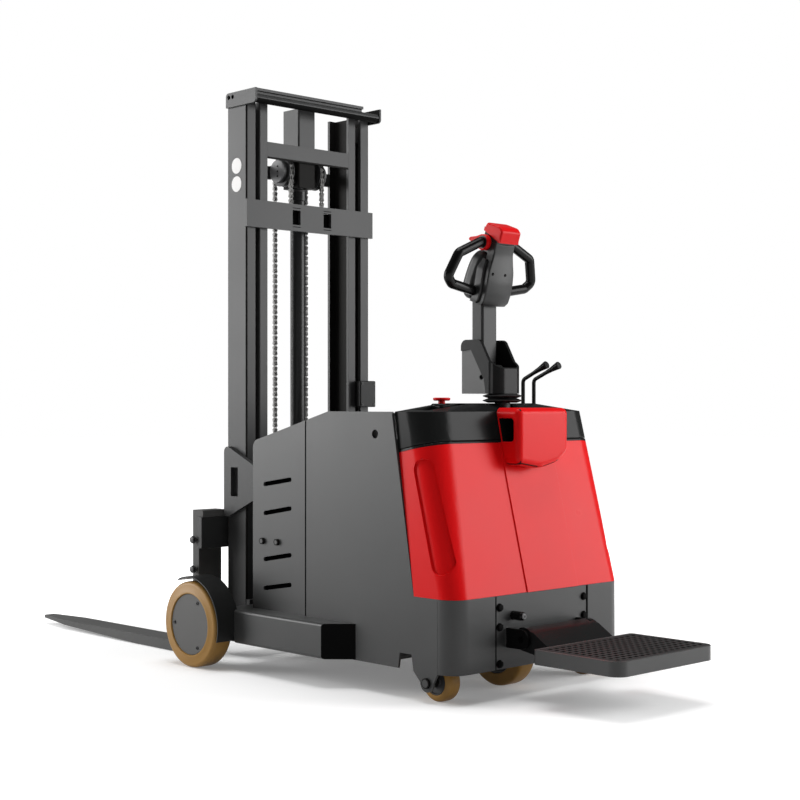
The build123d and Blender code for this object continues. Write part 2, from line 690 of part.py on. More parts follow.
caster = rod_x(CASTER_AHEAD, CASTER_D / 2, CASTER_D / 2, CASTER_FACE - CASTER_W, CASTER_FACE)
caster = fillet(caster.edges().filter_by(GeomType.CIRCLE), 6)
caster_bore = CASTER_BOLT_D / 2 + RUN_FIT
caster -= rod_x(CASTER_AHEAD, CASTER_D / 2, caster_bore, CASTER_FACE - CASTER_W - 1, CASTER_FACE + 1)
save("caster_right", caster)
save("caster_left", mirror(caster, about=Plane.YZ))

drive_z = DRIVE_D / 2
drive_pin_d = 30.0
drive_wheel = rod_x(STEER_AHEAD, drive_z, DRIVE_D / 2, -DRIVE_W / 2, DRIVE_W / 2)
drive_wheel = fillet(drive_wheel.edges().filter_by(GeomType.CIRCLE), 6)
drive_wheel -= rod_x(STEER_AHEAD, drive_z, drive_pin_d / 2 + RUN_FIT, -DRIVE_W, DRIVE_W)
save("drive_wheel", drive_wheel)

plate_top = TURNTABLE_Z + TURNTABLE_T
gear_x0 = DRIVE_W / 2 + 6
drive_unit = slab(gear_x0, gear_x0 + 60, STEER_AHEAD - 55, STEER_AHEAD + 55, 60, TURNTABLE_Z)
drive_unit = fillet(drive_unit.edges().filter_by(Axis.X), 20)
drive_unit += rod_x(STEER_AHEAD, drive_z, drive_pin_d / 2, -DRIVE_W / 2, gear_x0 + 1)
drive_unit += rod_z(0, STEER_AHEAD, 95, DRIVE_D + 25, plate_top + 1)
drive_unit += rod_z(0, STEER_AHEAD, 130, plate_top + 0.3, plate_top + 18)
drive_unit += rod_z(0, STEER_AHEAD, 75, plate_top + 18, 620)
drive_unit += rod_z(0, STEER_AHEAD, COLUMN_D / 2, 620, TILLER_Z)
save("drive_unit", drive_unit)

# Tiller

boot_z = HOOD_TOP_Z + 1.5
fold = (TILLER_Z - boot_z) / 4
bellows = [(COLUMN_D / 2 + RUN_FIT, TILLER_Z), (COLUMN_D / 2 + RUN_FIT, boot_z), (BOOT_WAIST_R, boot_z)]
for rise in (boot_z + fold, boot_z + 3 * fold):
    bellows += [(BOOT_R, rise - 1), (BOOT_R, rise + 1), (BOOT_WAIST_R, rise + fold)]
boot = revolve(Plane.XZ * make_face(Polyline(*bellows, close=True)), Axis.Z)
save("tiller_boot", Pos(0, at(STEER_AHEAD), 0) * boot)

base_profile = [
    (TILLER_FRONT, TILLER_Z),
    (TILLER_FRONT, TILLER_TOP),
    (TILLER_FRONT - 84, TILLER_TOP),
    (TILLER_REAR + 38, TILLER_LIP_Z + 24),
    (TILLER_REAR, TILLER_LIP_Z),
    (TILLER_REAR, TILLER_Z),
]
tiller_base = prism_x(base_profile, -TILLER_HALF, TILLER_HALF)
tiller_base = round_x(tiller_base, 22, (TILLER_FRONT, TILLER_TOP), (TILLER_FRONT - 84, TILLER_TOP))
tiller_base = round_z(tiller_base, 40, (-TILLER_HALF, TILLER_REAR), (TILLER_HALF, TILLER_REAR))
cheek_face = TILLER_HALF - RIM_PROUD
cavity_half = cheek_face - CHEEK_T
cavity = slab(
    -cavity_half, cavity_half, TILLER_REAR + TILLER_T, TILLER_FRONT - TILLER_T,
    TILLER_Z + TILLER_T, TILLER_TOP + 1,
)
tiller_base -= fillet(cavity.edges().filter_by(Axis.Z).sort_by(Axis.Y)[:2], 28)
cheek_line = [
    (TILLER_FRONT + 1, TILLER_Z - 1),
    (TILLER_FRONT + 1, TILLER_TOP - TILLER_RIM - 12),
    (TILLER_FRONT - 44, TILLER_TOP - TILLER_RIM - 8),
    (TILLER_REAR + 60, TILLER_LIP_Z - 34),
    (TILLER_REAR + 52, TILLER_Z - 1),
]
pin_half = cavity_half + CHEEK_T / 2
for recess in pair(prism_x(cheek_line, cheek_face, TILLER_HALF + 1)):
    tiller_base -= recess
for hole in pair(rod_x(TILLER_PIVOT_AHEAD, TILLER_PIVOT_Z, TILLER_PIN_D / 2, pin_half, cheek_face + 1)):
    tiller_base -= hole
tiller_base += rod_x(TILLER_PIVOT_AHEAD, TILLER_PIVOT_Z, TILLER_PIN_D / 2, -pin_half, pin_half)
save("tiller_base", tiller_base)

head_mid = (STEM_FRONT + STEM_REAR) / 2
head_axis = Pos(0, at(head_mid), HEAD_Z) * Rot(HEAD_LEAN, 0, 0)
head_length = (HEAD_TOP - HEAD_Z) / math.cos(math.radians(HEAD_LEAN))

lug_half = 28.0
stem = slab(-STEM_HALF, STEM_HALF, STEM_REAR, STEM_FRONT, 1028, HEAD_Z + STEM_HALF)
stem = fillet(stem.edges().filter_by(Axis.Z), 8)
stem -= head_axis * Pos(0, 0, STEM_HALF) * Box(4 * STEM_HALF, 4 * STEM_HALF, 2 * STEM_HALF)
stem_lug = slab(
    -lug_half, lug_half, TILLER_PIVOT_AHEAD - 16, STEM_FRONT - 4, TILLER_PIVOT_Z - 18, 1032
)
stem_lug = round_x(
    stem_lug, 15, (TILLER_PIVOT_AHEAD - 16, TILLER_PIVOT_Z - 18), (TILLER_PIVOT_AHEAD - 16, 1032)
)
stem += stem_lug
stem -= rod_x(TILLER_PIVOT_AHEAD, TILLER_PIVOT_Z, TILLER_PIN_D / 2 + RUN_FIT, -TILLER_HALF, TILLER_HALF)
save("tiller_stem", stem)


def head_section(rise, half, deep, forward):
    """Rounded cross-section of the leaning head, at a distance along its axis."""
    return Pos(0, forward, rise) * RectangleRounded(2 * half, 2 * deep, deep - 8)


head = loft(
    [
        head_section(0, HEAD_HALF - 28, 30, -4),
        head_section(16, HEAD_HALF - 18, 38, -4),
        head_section(70, HEAD_HALF - 16, 40, -6),
        head_section(125, HEAD_HALF - 24, 34, -4),
        head_section(175, NECK_HALF - 4, 26, 2),
    ]
)
head += loft(
    [
        head_section(6, HEAD_HALF - 22, 24, 24),
        head_section(20, HEAD_HALF - 8, 30, 26),
        head_section(75, HEAD_HALF, 32, 28),
        head_section(130, HEAD_HALF - 5, 30, 26),
        head_section(158, HEAD_HALF - 14, 22, 22),
        head_section(168, HEAD_HALF - 26, 14, 20),
    ]
)
head += extrude(Pos(0, 4, head_length - NECK_LENGTH) * RectangleRounded(2 * NECK_HALF, 62, 5), NECK_LENGTH)
plunger_d = 20.0
wing_axis = Pos(0, WING_AHEAD, WING_RISE) * Rot(0, 90, 0)
wing_x0 = NECK_HALF + WING_GAP
wing_x1 = wing_x0 + WING_W
boss_end = wing_x1 + 1
head += wing_axis * Cylinder(BOSS_R, 2 * boss_end)
head -= Pos(0, 0, head_length - 20) * Cylinder(plunger_d / 2 + RUN_FIT, 80)
save("tiller_head", head_axis * head)

grip_path = FilletPolyline(
    (NECK_HALF - 4, WING_AHEAD, WING_RISE),
    (boss_end + 6, WING_AHEAD, WING_RISE),
    (GRIP_OUT - 30, GRIP_FORWARD / 2, 157),
    (GRIP_OUT, 0, 80),
    (GRIP_OUT - 26, 0, 57),
    (HEAD_HALF - 22, 0, 36),
    radius=20,
)
grip_start = Plane(origin=grip_path @ 0, z_dir=grip_path % 0)
grip = sweep(grip_start * Circle(GRIP_D / 2), path=grip_path) - head
grip = max(grip.solids(), key=lambda solid: solid.volume)
save("tiller_grips", *pair(head_axis * grip))

tab = [
    (WING_AHEAD - 16, WING_RISE + 8),
    (WING_AHEAD + 8, WING_RISE + WING_R - 1),
    (WING_AHEAD + 40, WING_RISE + 24),
    (WING_AHEAD + 66, WING_RISE + 30),
    (WING_AHEAD + 70, WING_RISE + 24),
    (WING_AHEAD + 46, WING_RISE + 8),
    (WING_AHEAD + 18, WING_RISE - 14),
]
tab_face = make_face(Polyline(*tab, close=True))
wing = extrude(Plane.YZ.offset(wing_x0) * tab_face, WING_W, dir=(1, 0, 0))
wing += Pos((wing_x0 + wing_x1) / 2, 0, 0) * wing_axis * Cylinder(WING_R, WING_W)
wing -= wing_axis * Cylinder(BOSS_R + RUN_FIT, 2 * boss_end + 2)
save("throttle_wings", *pair(head_axis * wing))

cap_profile = [
    (42, 14),
    (35, 41),
    (-20, 41),
    (-38, 31),
    (-39, -9),
    (-30, -9),
    (-30, BUTTON_GAP),
    (34, BUTTON_GAP),
]
cap_face = make_face(Polyline(*cap_profile, close=True))
cap_face = fillet([point for point in cap_face.vertices() if point.Y > 25], 9)
cap = extrude(Plane.YZ.offset(-BUTTON_HALF) * cap_face, 2 * BUTTON_HALF, dir=(1, 0, 0))
cap += Pos(0, 0, -15) * Cylinder(plunger_d / 2, 60)
save("belly_button", head_axis * Pos(0, 0, head_length) * cap)

# Chassis

top_slope = (BODY_TOP - PANEL_FRONT_Z) / (SLOPE_END - PANEL_FRONT)
seam_front = SEAM + SEAM_GAP / 2
seam_rear = SEAM - SEAM_GAP / 2
seam_top_front = PANEL_FRONT_Z + top_slope * (seam_front - PANEL_FRONT)
seam_top_rear = PANEL_FRONT_Z + top_slope * (seam_rear - PANEL_FRONT)
front_panel = prism_x(
    [
        (PANEL_FRONT, PANEL_BOTTOM),
        (PANEL_FRONT, PANEL_FRONT_Z),
        (seam_front, seam_top_front),
        (seam_front, PANEL_BOTTOM),
    ],
    PANEL_IN,
    BODY_HALF,
)
front_panel = round_x(front_panel, 30, (PANEL_FRONT, PANEL_FRONT_Z))
for z0, z1 in ((633, 653), (535, 557), (379, 402), (281, 303)):
    front_panel -= slot_x(-233, z0, -366, z1, SLOT_W, PANEL_IN - 1, BODY_HALF + 1)
ear_r = 28.0
rear_panel = prism_x(
    [
        (seam_rear, PANEL_BOTTOM),
        (seam_rear, seam_top_rear),
        (SLOPE_END, BODY_TOP),
        (HOOD_FRONT_TOP, BODY_TOP),
        (HOOD_FRONT_LOW, HOOD_LOW_Z),
        (-1057, HOOD_LOW_Z),
        (-1057, PANEL_BOTTOM),
        (CASTER_AHEAD - ear_r, CASTER_D / 2),
        (CASTER_AHEAD + ear_r, CASTER_D / 2),
        (-953, PANEL_BOTTOM),
        (-946, 141),
        (-894, 141),
        (-887, PANEL_BOTTOM),
    ],
    PANEL_IN,
    BODY_HALF,
)
rear_panel += rod_x(CASTER_AHEAD, CASTER_D / 2, ear_r, PANEL_IN, BODY_HALF)
rear_panel -= rod_x(CASTER_AHEAD, CASTER_D / 2, CASTER_BOLT_D / 2, PANEL_IN - 1, BODY_HALF + 1)
rear_panel -= rod_x(-782, 811, 14, PANEL_IN - 1, BODY_HALF + 1)
save("side_panels", *pair(front_panel), *pair(rear_panel))

beam_out = BODY_HALF + BEAM_W
beam = prism_z(
    [
        (BODY_HALF, AXLE_BEAM_REAR + 2),
        (beam_out, AXLE_BEAM_REAR + 2),
        (beam_out, -614),
        (BODY_HALF, -614 - BEAM_W),
    ],
    BEAM_Z,
    BEAM_Z + BEAM_H,
)
long_edges = beam.edges().filter_by(Axis.Y).sort_by(Axis.X)[-2:]
beam = fillet(long_edges, 10)
beam -= rod_x(0, AXLE_Z, GUARD_R + GUARD_T, ARM_OUT, beam_out + 1)
save("side_beams", *pair(beam))

cross_beam = slab(-BODY_HALF, BODY_HALF, AXLE_BEAM_REAR, AXLE_BEAM_FRONT, BEAM_Z, 205)
lug_x0 = PIVOT_LUG_X - LUG_GAP - 26
for x0, x1 in (
    (lug_x0, PIVOT_LUG_X - LUG_GAP),
    (PIVOT_LUG_X + PIVOT_LUG_T + LUG_GAP, PIVOT_LUG_X + PIVOT_LUG_T + LUG_GAP + 26),
):
    for side in (-1, 1):
        low, high = sorted((side * x0, side * x1))
        cross_beam += slab(
            low, high, AXLE_BEAM_FRONT - 1, PIVOT_AHEAD, PIVOT_Z - PIVOT_LUG_R, PIVOT_Z + PIVOT_LUG_R
        )
        cross_beam += rod_x(PIVOT_AHEAD, PIVOT_Z, PIVOT_LUG_R, low, high)
        cross_beam -= rod_x(PIVOT_AHEAD, PIVOT_Z, PIVOT_D / 2, low - 1, high + 1)
arm = slab(BODY_HALF, ARM_OUT, AXLE_BEAM_REAR + 2, 46, BEAM_Z, 205)
arm = round_x(arm, 40, (46, 205), (46, BEAM_Z))
arm += rod_x(0, AXLE_Z, STUB_D / 2, ARM_OUT - 1, stub_end - 1)
save("axle_frame", cross_beam, *pair(arm))

pivot_pin = rod_x(
    PIVOT_AHEAD, PIVOT_Z, PIVOT_D / 2, lug_x0, PIVOT_LUG_X + PIVOT_LUG_T + LUG_GAP + 26
)
save("mast_pivot_pins", *pair(pivot_pin))

guard_out = GUARD_R + GUARD_T
guard = rod_x(0, AXLE_Z, guard_out, ARM_OUT, TRUCK_HALF)
guard -= rod_x(0, AXLE_Z, GUARD_R, ARM_OUT - 1, TRUCK_HALF + 1)
guard -= prism_x(
    [(0, AXLE_Z), (GUARD_R * 0.47, AXLE_Z + guard_out + 3), (2 * GUARD_R, AXLE_Z + guard_out + 3),
     (2 * GUARD_R, AXLE_Z - 2 * GUARD_R), (-2 * GUARD_R, AXLE_Z - 2 * GUARD_R), (-2 * GUARD_R, AXLE_Z - 45),
     (-GUARD_R / 4, AXLE_Z - 45)],
    ARM_OUT - 1,
    TRUCK_HALF + 1,
)
save("mudguards", *pair(guard))

floor_rear = -780.0
floor = slab(-PANEL_IN, PANEL_IN, floor_rear, AXLE_BEAM_REAR, PANEL_BOTTOM, PANEL_BOTTOM + FLOOR_T)
bulkhead = slab(-OUTER_HALF + 2, OUTER_HALF - 2, -200, -192, PANEL_BOTTOM + FLOOR_T, 740)
slot_liner = slab(PANEL_IN - 20, PANEL_IN - 16, -385, -205, PANEL_BOTTOM + FLOOR_T, LINER_TOP)
slot_liner += slab(PANEL_IN - 17, PANEL_IN, -385, -381, PANEL_BOTTOM + FLOOR_T, LINER_TOP)
slot_liner += slab(PANEL_IN - 17, PANEL_IN, -209, -205, PANEL_BOTTOM + FLOOR_T, LINER_TOP)
turntable = slab(-PANEL_IN, PANEL_IN, HOOD_FRONT_LOW + 8, -800, TURNTABLE_Z, plate_top)
turntable_half = PANEL_IN - HOOD_T - 12
turntable += slab(-turntable_half, turntable_half, -1085, HOOD_FRONT_LOW + 9, TURNTABLE_Z, plate_top)
turntable -= rod_z(0, STEER_AHEAD, 100, TURNTABLE_Z - 1, plate_top + 1)
tilt_anchor = slab(TILT_X + 34, PANEL_IN, tilt_rear - 30, tilt_rear + 30, TILT_PIN_Z - 30, TILT_PIN_Z + 30)
tilt_anchor += rod_x(tilt_rear, TILT_PIN_Z, TILT_PIN_D / 2, eye_x0 - 3, TILT_X + 35)
ear_in = CASTER_FACE - CASTER_W - 6
inner_ear = slab(ear_in - 10, ear_in, CASTER_AHEAD - 28, CASTER_AHEAD + 28, 34, TURNTABLE_Z)
inner_ear -= rod_x(CASTER_AHEAD, CASTER_D / 2, CASTER_BOLT_D / 2, ear_in - 11, ear_in + 1)
save("chassis_base", floor, bulkhead, turntable, *pair(slot_liner), *pair(tilt_anchor), *pair(inner_ear))

wrap_r = HOOD_CORNER_LOW
wrap_outer = slab(-BODY_HALF, BODY_HALF, HOOD_REAR_LOW, -1057, PANEL_BOTTOM, HOOD_LOW_Z)
wrap_outer = round_z(wrap_outer, wrap_r, (-BODY_HALF, HOOD_REAR_LOW), (BODY_HALF, HOOD_REAR_LOW))
wrap_inner = slab(-PANEL_IN, PANEL_IN, HOOD_REAR_LOW + PANEL_T, -1056, PANEL_BOTTOM - 1, HOOD_LOW_Z + 1)
wrap_inner = round_z(
    wrap_inner, wrap_r - PANEL_T, (-PANEL_IN, HOOD_REAR_LOW + PANEL_T), (PANEL_IN, HOOD_REAR_LOW + PANEL_T)
)
rear_chassis = wrap_outer - wrap_inner
rear_chassis -= slab(
    -COVER_HALF, COVER_HALF, HOOD_REAR_LOW - 1, HOOD_REAR_LOW + PANEL_T + 1, PANEL_BOTTOM - 1, HOOD_LOW_Z + 1
)
save("rear_chassis", rear_chassis)

cover_plate = slab(
    -COVER_HALF, COVER_HALF, HOOD_REAR_LOW + 2, HOOD_REAR_LOW + 2 + PANEL_T, PANEL_BOTTOM, HOOD_LOW_Z
)
lug_in = ARM_X + ARM_T + ARM_GAP
for side in (-1, 1):
    low, high = sorted((side * lug_in, side * (lug_in + LUG_T)))
    cover_plate += slab(low, high, HINGE_AHEAD, HOOD_REAR_LOW + 3, HINGE_Z - 30, HINGE_Z + 30)
    cover_plate += rod_x(HINGE_AHEAD, HINGE_Z, 30, low, high)
    cover_plate -= rod_x(HINGE_AHEAD, HINGE_Z, HINGE_PIN_D / 2, low - 1, high + 1)
save("rear_cover_plate", cover_plate)

stud = rod_y(STUD_X, STUD_Z, STUD_D / 2, STUD_END, HOOD_REAR_LOW + 2)
stud = fillet(stud.edges().filter_by(GeomType.CIRCLE).sort_by(Axis.Y)[0], 6)
save("stop_stud", stud)
save("platform_pin", rod_x(HINGE_AHEAD, HINGE_Z, HINGE_PIN_D / 2, -lug_in - LUG_T, lug_in + LUG_T))

# Platform

deck = slab(
    -PLATFORM_HALF, PLATFORM_HALF, PLATFORM_REAR, PLATFORM_FRONT, PLATFORM_Z, PLATFORM_Z + PLATFORM_T
)
deck = round_z(deck, PLATFORM_CORNER, (-PLATFORM_HALF, PLATFORM_REAR), (PLATFORM_HALF, PLATFORM_REAR))
deck = round_z(deck, 12, (-PLATFORM_HALF, PLATFORM_FRONT), (PLATFORM_HALF, PLATFORM_FRONT))
deck_top = PLATFORM_Z + PLATFORM_T
mat = slab(
    -PLATFORM_HALF + 12, PLATFORM_HALF - 12, PLATFORM_REAR + 12, PLATFORM_FRONT - 12, deck_top - 4, deck_top + 1
)
mat = fillet(mat.edges().filter_by(Axis.Z), 11)
deck -= mat
pan = slab(
    -PLATFORM_HALF + 10, PLATFORM_HALF - 10, PLATFORM_REAR + 10, PLATFORM_FRONT - 10,
    PLATFORM_Z - 1, deck_top - 12,
)
deck -= fillet(pan.edges().filter_by(Axis.Z), 12)
for side in (-1, 1):
    low, high = sorted((side * ARM_X, side * (ARM_X + ARM_T)))
    deck += prism_x(
        [
            (HINGE_AHEAD, HINGE_Z + HINGE_R),
            (HINGE_AHEAD - 40, HINGE_Z + HINGE_R - 14),
            (PLATFORM_FRONT + 10, deck_top - 3),
            (PLATFORM_FRONT - 1, deck_top - 3),
            (PLATFORM_FRONT - 1, PLATFORM_Z),
            (HINGE_AHEAD, HINGE_Z - HINGE_R),
        ],
        low,
        high,
    )
    deck += rod_x(HINGE_AHEAD, HINGE_Z, HINGE_R, low, high)
deck += prism_x(
    [
        (HINGE_AHEAD, HINGE_Z + HINGE_R),
        (HINGE_AHEAD - 40, HINGE_Z + HINGE_R - 14),
        (PLATFORM_FRONT + 10, deck_top - 3),
        (PLATFORM_FRONT - 1, deck_top - 3),
        (PLATFORM_FRONT - 1, deck_top - 13),
        (HINGE_AHEAD - 40, HINGE_Z + HINGE_R - 24),
        (HINGE_AHEAD, HINGE_Z + HINGE_R - 9),
    ],
    -ARM_X - 1,
    ARM_X + 1,
)
deck -= rod_x(HINGE_AHEAD, HINGE_Z, HINGE_PIN_D / 2 + RUN_FIT, -ARM_X - ARM_T - 1, ARM_X + ARM_T + 1)
save("platform", deck)

# Hood


def hood_outline(z, half, rear, front, corner):
    """Plan of the hood at one height: straight front, rounded rear corners."""
    plan = make_face(
        Polyline((half, at(front)), (-half, at(front)), (-half, at(rear)), (half, at(rear)), close=True)
    )
    corners = [point for point in plan.vertices() if point.Y < at(rear) + 1]
    return Pos(0, 0, z) * fillet(corners, corner)


def hood_shell(inset, low, high):
    """Leaning hood body between two heights beyond its own, drawn in by inset."""
    lean_rate = (HOOD_REAR_TOP - HOOD_REAR_LOW) / (BODY_TOP - HOOD_LOW_Z)
    front_rate = (HOOD_FRONT_TOP - HOOD_FRONT_LOW) / (BODY_TOP - HOOD_LOW_Z)
    half_rate = (HOOD_HALF_TOP - BODY_HALF) / (BODY_TOP - HOOD_LOW_Z)
    corner_rate = (HOOD_CORNER_TOP - HOOD_CORNER_LOW) / (BODY_TOP - HOOD_LOW_Z)
    plans = []
    for z in (low, high):
        up = z - HOOD_LOW_Z
        plans.append(
            hood_outline(
                z,
                BODY_HALF + half_rate * up - inset,
                HOOD_REAR_LOW + lean_rate * up + inset,
                HOOD_FRONT_LOW + front_rate * up + (1 if inset else 0),
                HOOD_CORNER_LOW + corner_rate * up - inset,
            )
        )
    return loft(plans, ruled=True)


crown = loft(
    [
        hood_outline(BODY_TOP, HOOD_HALF_TOP, HOOD_REAR_TOP, HOOD_FRONT_TOP, HOOD_CORNER_TOP),
        hood_outline(HOOD_TOP_Z, CROWN_HALF, CROWN_REAR, HOOD_FRONT_TOP, CROWN_CORNER),
    ],
    ruled=True,
)
envelope = hood_shell(0, HOOD_LOW_Z, BODY_TOP)
hollow = hood_shell(HOOD_T, HOOD_LOW_Z - 5, BODY_TOP + 5)
split_rear = SPLIT_FRONT - 150
below_split = prism_x(
    [
        (SPLIT_FRONT + 100, 0),
        (SPLIT_FRONT + 100, SPLIT_Z - SPLIT_RISE * 100 / 150),
        (split_rear - 200, SPLIT_Z + SPLIT_RISE * 350 / 150),
        (split_rear - 200, 0),
    ],
    -BODY_HALF - 50,
    BODY_HALF + 50,
)
panel_outline = [(-97, BODY_TOP), (-75, HOOD_LOW_Z), (168, HOOD_LOW_Z), (146, BODY_TOP)]
panel_plane = Plane(origin=(0, at(HOOD_REAR_LOW - 50), 0), x_dir=(1, 0, 0), z_dir=(0, -1, 0))
centre_panel = extrude(panel_plane * make_face(Polyline(*panel_outline, close=True)), 180, dir=(0, 1, 0))
proud_skin = hood_shell(-PANEL_PROUD, HOOD_LOW_Z, BODY_TOP)
centre_panel &= proud_skin - hood_shell(PANEL_PROUD, HOOD_LOW_Z - 1, BODY_TOP + 1)
hood_cover = ((envelope + centre_panel) & below_split) - hollow
recess_floor = hood_shell(RECESS_DEEP, HOOD_LOW_Z - 6, BODY_TOP + 6)
recess_skin = hood_shell(0, HOOD_LOW_Z - 5, BODY_TOP + 5) - recess_floor
recess = slot_x(-980, 705, -1062, 424, RECESS_W, BODY_HALF - 110, BODY_HALF + 1) & recess_skin
for cut in pair(recess):
    hood_cover -= cut
save("hood_cover", hood_cover)

hood_top = (envelope - below_split) + crown
hood_top -= hollow & block(-500, 500, -2000, 2000, 0, DECK_LOW)
pocket_x = (-345.0, -250.0)
pocket_a = (-955.0, -885.0)
leg_x = -168.0
leg_a = -924.0
tub = slab(pocket_x[0] - 6, pocket_x[1] + 6, pocket_a[0] - 6, pocket_a[1] + 6, DECK_LOW - 28, DECK_LOW + 1)
tub += slab(pocket_x[1], leg_x + 6, pocket_a[0] - 6, leg_a + 6, DECK_LOW - 28, DECK_LOW + 1)
hood_top += tub
pocket = slab(pocket_x[0], pocket_x[1], pocket_a[0], pocket_a[1], DECK_LOW - 22, HOOD_TOP_Z + 1)
pocket += slab(pocket_x[1] - 1, leg_x, pocket_a[0], leg_a, DECK_LOW - 22, HOOD_TOP_Z + 1)
hood_top -= fillet(pocket.edges().filter_by(Axis.Z), 10)
hood_top -= rod_z(0, STEER_AHEAD, COLUMN_HOLE_D / 2, DECK_LOW - 1, HOOD_TOP_Z + 1)
for x in LEVER_X:
    hood_top -= slab(x - 9, x + 9, LEVER_AHEAD - 26, LEVER_AHEAD + 18, DECK_LOW - 1, HOOD_TOP_Z + 1)
hood_top -= rod_z(STOP_X, STOP_AHEAD, STOP_STEM_D / 2 + RUN_FIT, DECK_LOW - 1, HOOD_TOP_Z + 1)
hinge_x = (LEVER_X[0] - 20, LEVER_X[1] + 20)
for x0 in (hinge_x[0] - 8, hinge_x[1]):
    hood_top += slab(x0, x0 + 8, LEVER_AHEAD - 12, LEVER_AHEAD + 12, LEVER_Z - 12, DECK_LOW + 1)
hood_top += rod_x(LEVER_AHEAD, LEVER_Z, LEVER_PIVOT_D / 2, hinge_x[0] - 1, hinge_x[1] + 1)
save("hood_top", hood_top)

box_line = [
    (BOX_LEFT, BOX_TOP),
    (BOX_RIGHT, BOX_TOP),
    (BOX_RIGHT, BOX_LOW + 52),
    (BOX_RIGHT - 51, BOX_LOW + 17),
    (BOX_KEEL_X, BOX_LOW),
    (BOX_LEFT, BOX_LOW + 17),
]
box_plane = Plane(origin=(0, at(BOX_REAR), 0), x_dir=(1, 0, 0), z_dir=(0, -1, 0))
box_face = make_face(Polyline(*box_line, close=True))
box_face = fillet([point for point in box_face.vertices() if point.X > BOX_RIGHT - 60], BOX_ROUND)
box_face = fillet([point for point in box_face.vertices() if point.X < BOX_LEFT + 1], BOX_ROUND * 0.8)
box_depth = HOOD_REAR_TOP + 60 - BOX_REAR
storage_box = extrude(box_plane * box_face, box_depth, dir=(0, 1, 0))
storage_box = fillet(storage_box.faces().sort_by(Axis.Y)[0].edges(), BOX_ROUND * 0.75)
storage_box -= extrude(
    box_plane.offset(-BOX_T) * make_face(
        Polyline(
            (BOX_LEFT + BOX_T, BOX_TOP - BOX_T), (BOX_RIGHT - BOX_T, BOX_TOP - BOX_T),
            (BOX_RIGHT - BOX_T, BOX_LOW + 56), (BOX_RIGHT - 54, BOX_LOW + 26), (BOX_LEFT + BOX_T, BOX_LOW + 26),
            close=True,
        )
    ),
    box_depth,
    dir=(0, 1, 0),
)
mouth = slab(BOX_LEFT - 1, BOX_LEFT + BOX_T + 1, BOX_REAR + 18, HOOD_REAR_TOP + 30, BOX_LOW + 85, BOX_TOP - 35)
storage_box -= fillet(mouth.edges().filter_by(Axis.X), 14)
storage_box -= envelope + crown + centre_panel
storage_box = max(storage_box.solids(), key=lambda solid: solid.volume)
save("storage_box", storage_box)

stop_button = rod_z(STOP_X, STOP_AHEAD, STOP_D / 2, STOP_TOP - 12, STOP_TOP)
stop_button = fillet(stop_button.edges().sort_by(Axis.Z)[-1], 5)
stop_button += rod_z(STOP_X, STOP_AHEAD, STOP_STEM_D / 2, DECK_LOW - 20, STOP_TOP - 11)
save("emergency_stop", stop_button)

knob_length = 34.0
for node, x, reach in (("lift_lever", LEVER_X[0], 74.0), ("tilt_lever", LEVER_X[1], 80.0)):
    lever_path = FilletPolyline(
        (x, at(LEVER_AHEAD), LEVER_Z + 9),
        (x, at(LEVER_AHEAD), 985),
        (x, at(LEVER_AHEAD - reach), 1020),
        radius=16,
    )
    lever_start = Plane(origin=lever_path @ 0, z_dir=lever_path % 0)
    lever_end = Plane(origin=lever_path @ 1, z_dir=lever_path % 1)
    lever = sweep(lever_start * Circle(LEVER_D / 2), path=lever_path)
    lever += lever_end * Pos(0, 0, -14) * Cone(LEVER_D / 2, KNOB_D * 0.32, 30)
    knob = Pos(0, 0, knob_length / 2) * Cone(KNOB_D * 0.32, KNOB_D / 2, knob_length)
    lever += lever_end * fillet(knob.edges().sort_by(Axis.Z)[-1], 3)
    lever += rod_x(LEVER_AHEAD, LEVER_Z, 12, x - 6, x + 6)
    lever -= rod_x(LEVER_AHEAD, LEVER_Z, LEVER_PIVOT_D / 2 + RUN_FIT, x - 7, x + 7)
    save(node, lever)

# Inside the body

cover_line = [
    (PANEL_FRONT - 6, PANEL_FRONT_Z - 30),
    (PANEL_FRONT - 6, PANEL_FRONT_Z - 14),
    (SLOPE_END, BODY_TOP - 6),
    (HOOD_FRONT_TOP + 2, BODY_TOP - 6),
    (HOOD_FRONT_TOP + 2, BODY_TOP - 12),
    (SLOPE_END, BODY_TOP - 12),
    (PANEL_FRONT - 12, PANEL_FRONT_Z - 20),
    (PANEL_FRONT - 12, PANEL_FRONT_Z - 30),
]
save("battery_cover", prism_x(cover_line, -PANEL_IN, PANEL_IN))

floor_top = PANEL_BOTTOM + FLOOR_T
battery_half = OUTER_HALF - 16
battery = slab(-battery_half, battery_half, -620, -210, floor_top, 640)
battery = fillet(battery.edges().filter_by(Axis.Z), 8)
for x in (70 - battery_half, battery_half - 70):
    battery += slab(x - 12, x + 12, -440, -390, 639, 668)
save("battery", battery)
ballast_front = -640.0
counterweight = slab(-PANEL_IN + 4, PANEL_IN - 4, floor_rear, ballast_front, floor_top, 660)
save("counterweight", counterweight)
pump = slab(-200, 60, floor_rear + 10, ballast_front - 10, 660, 790)
pump += rod_z(140, (floor_rear + ballast_front) / 2, 55, 660, 850)
save("pump_unit", pump)

# Fasteners

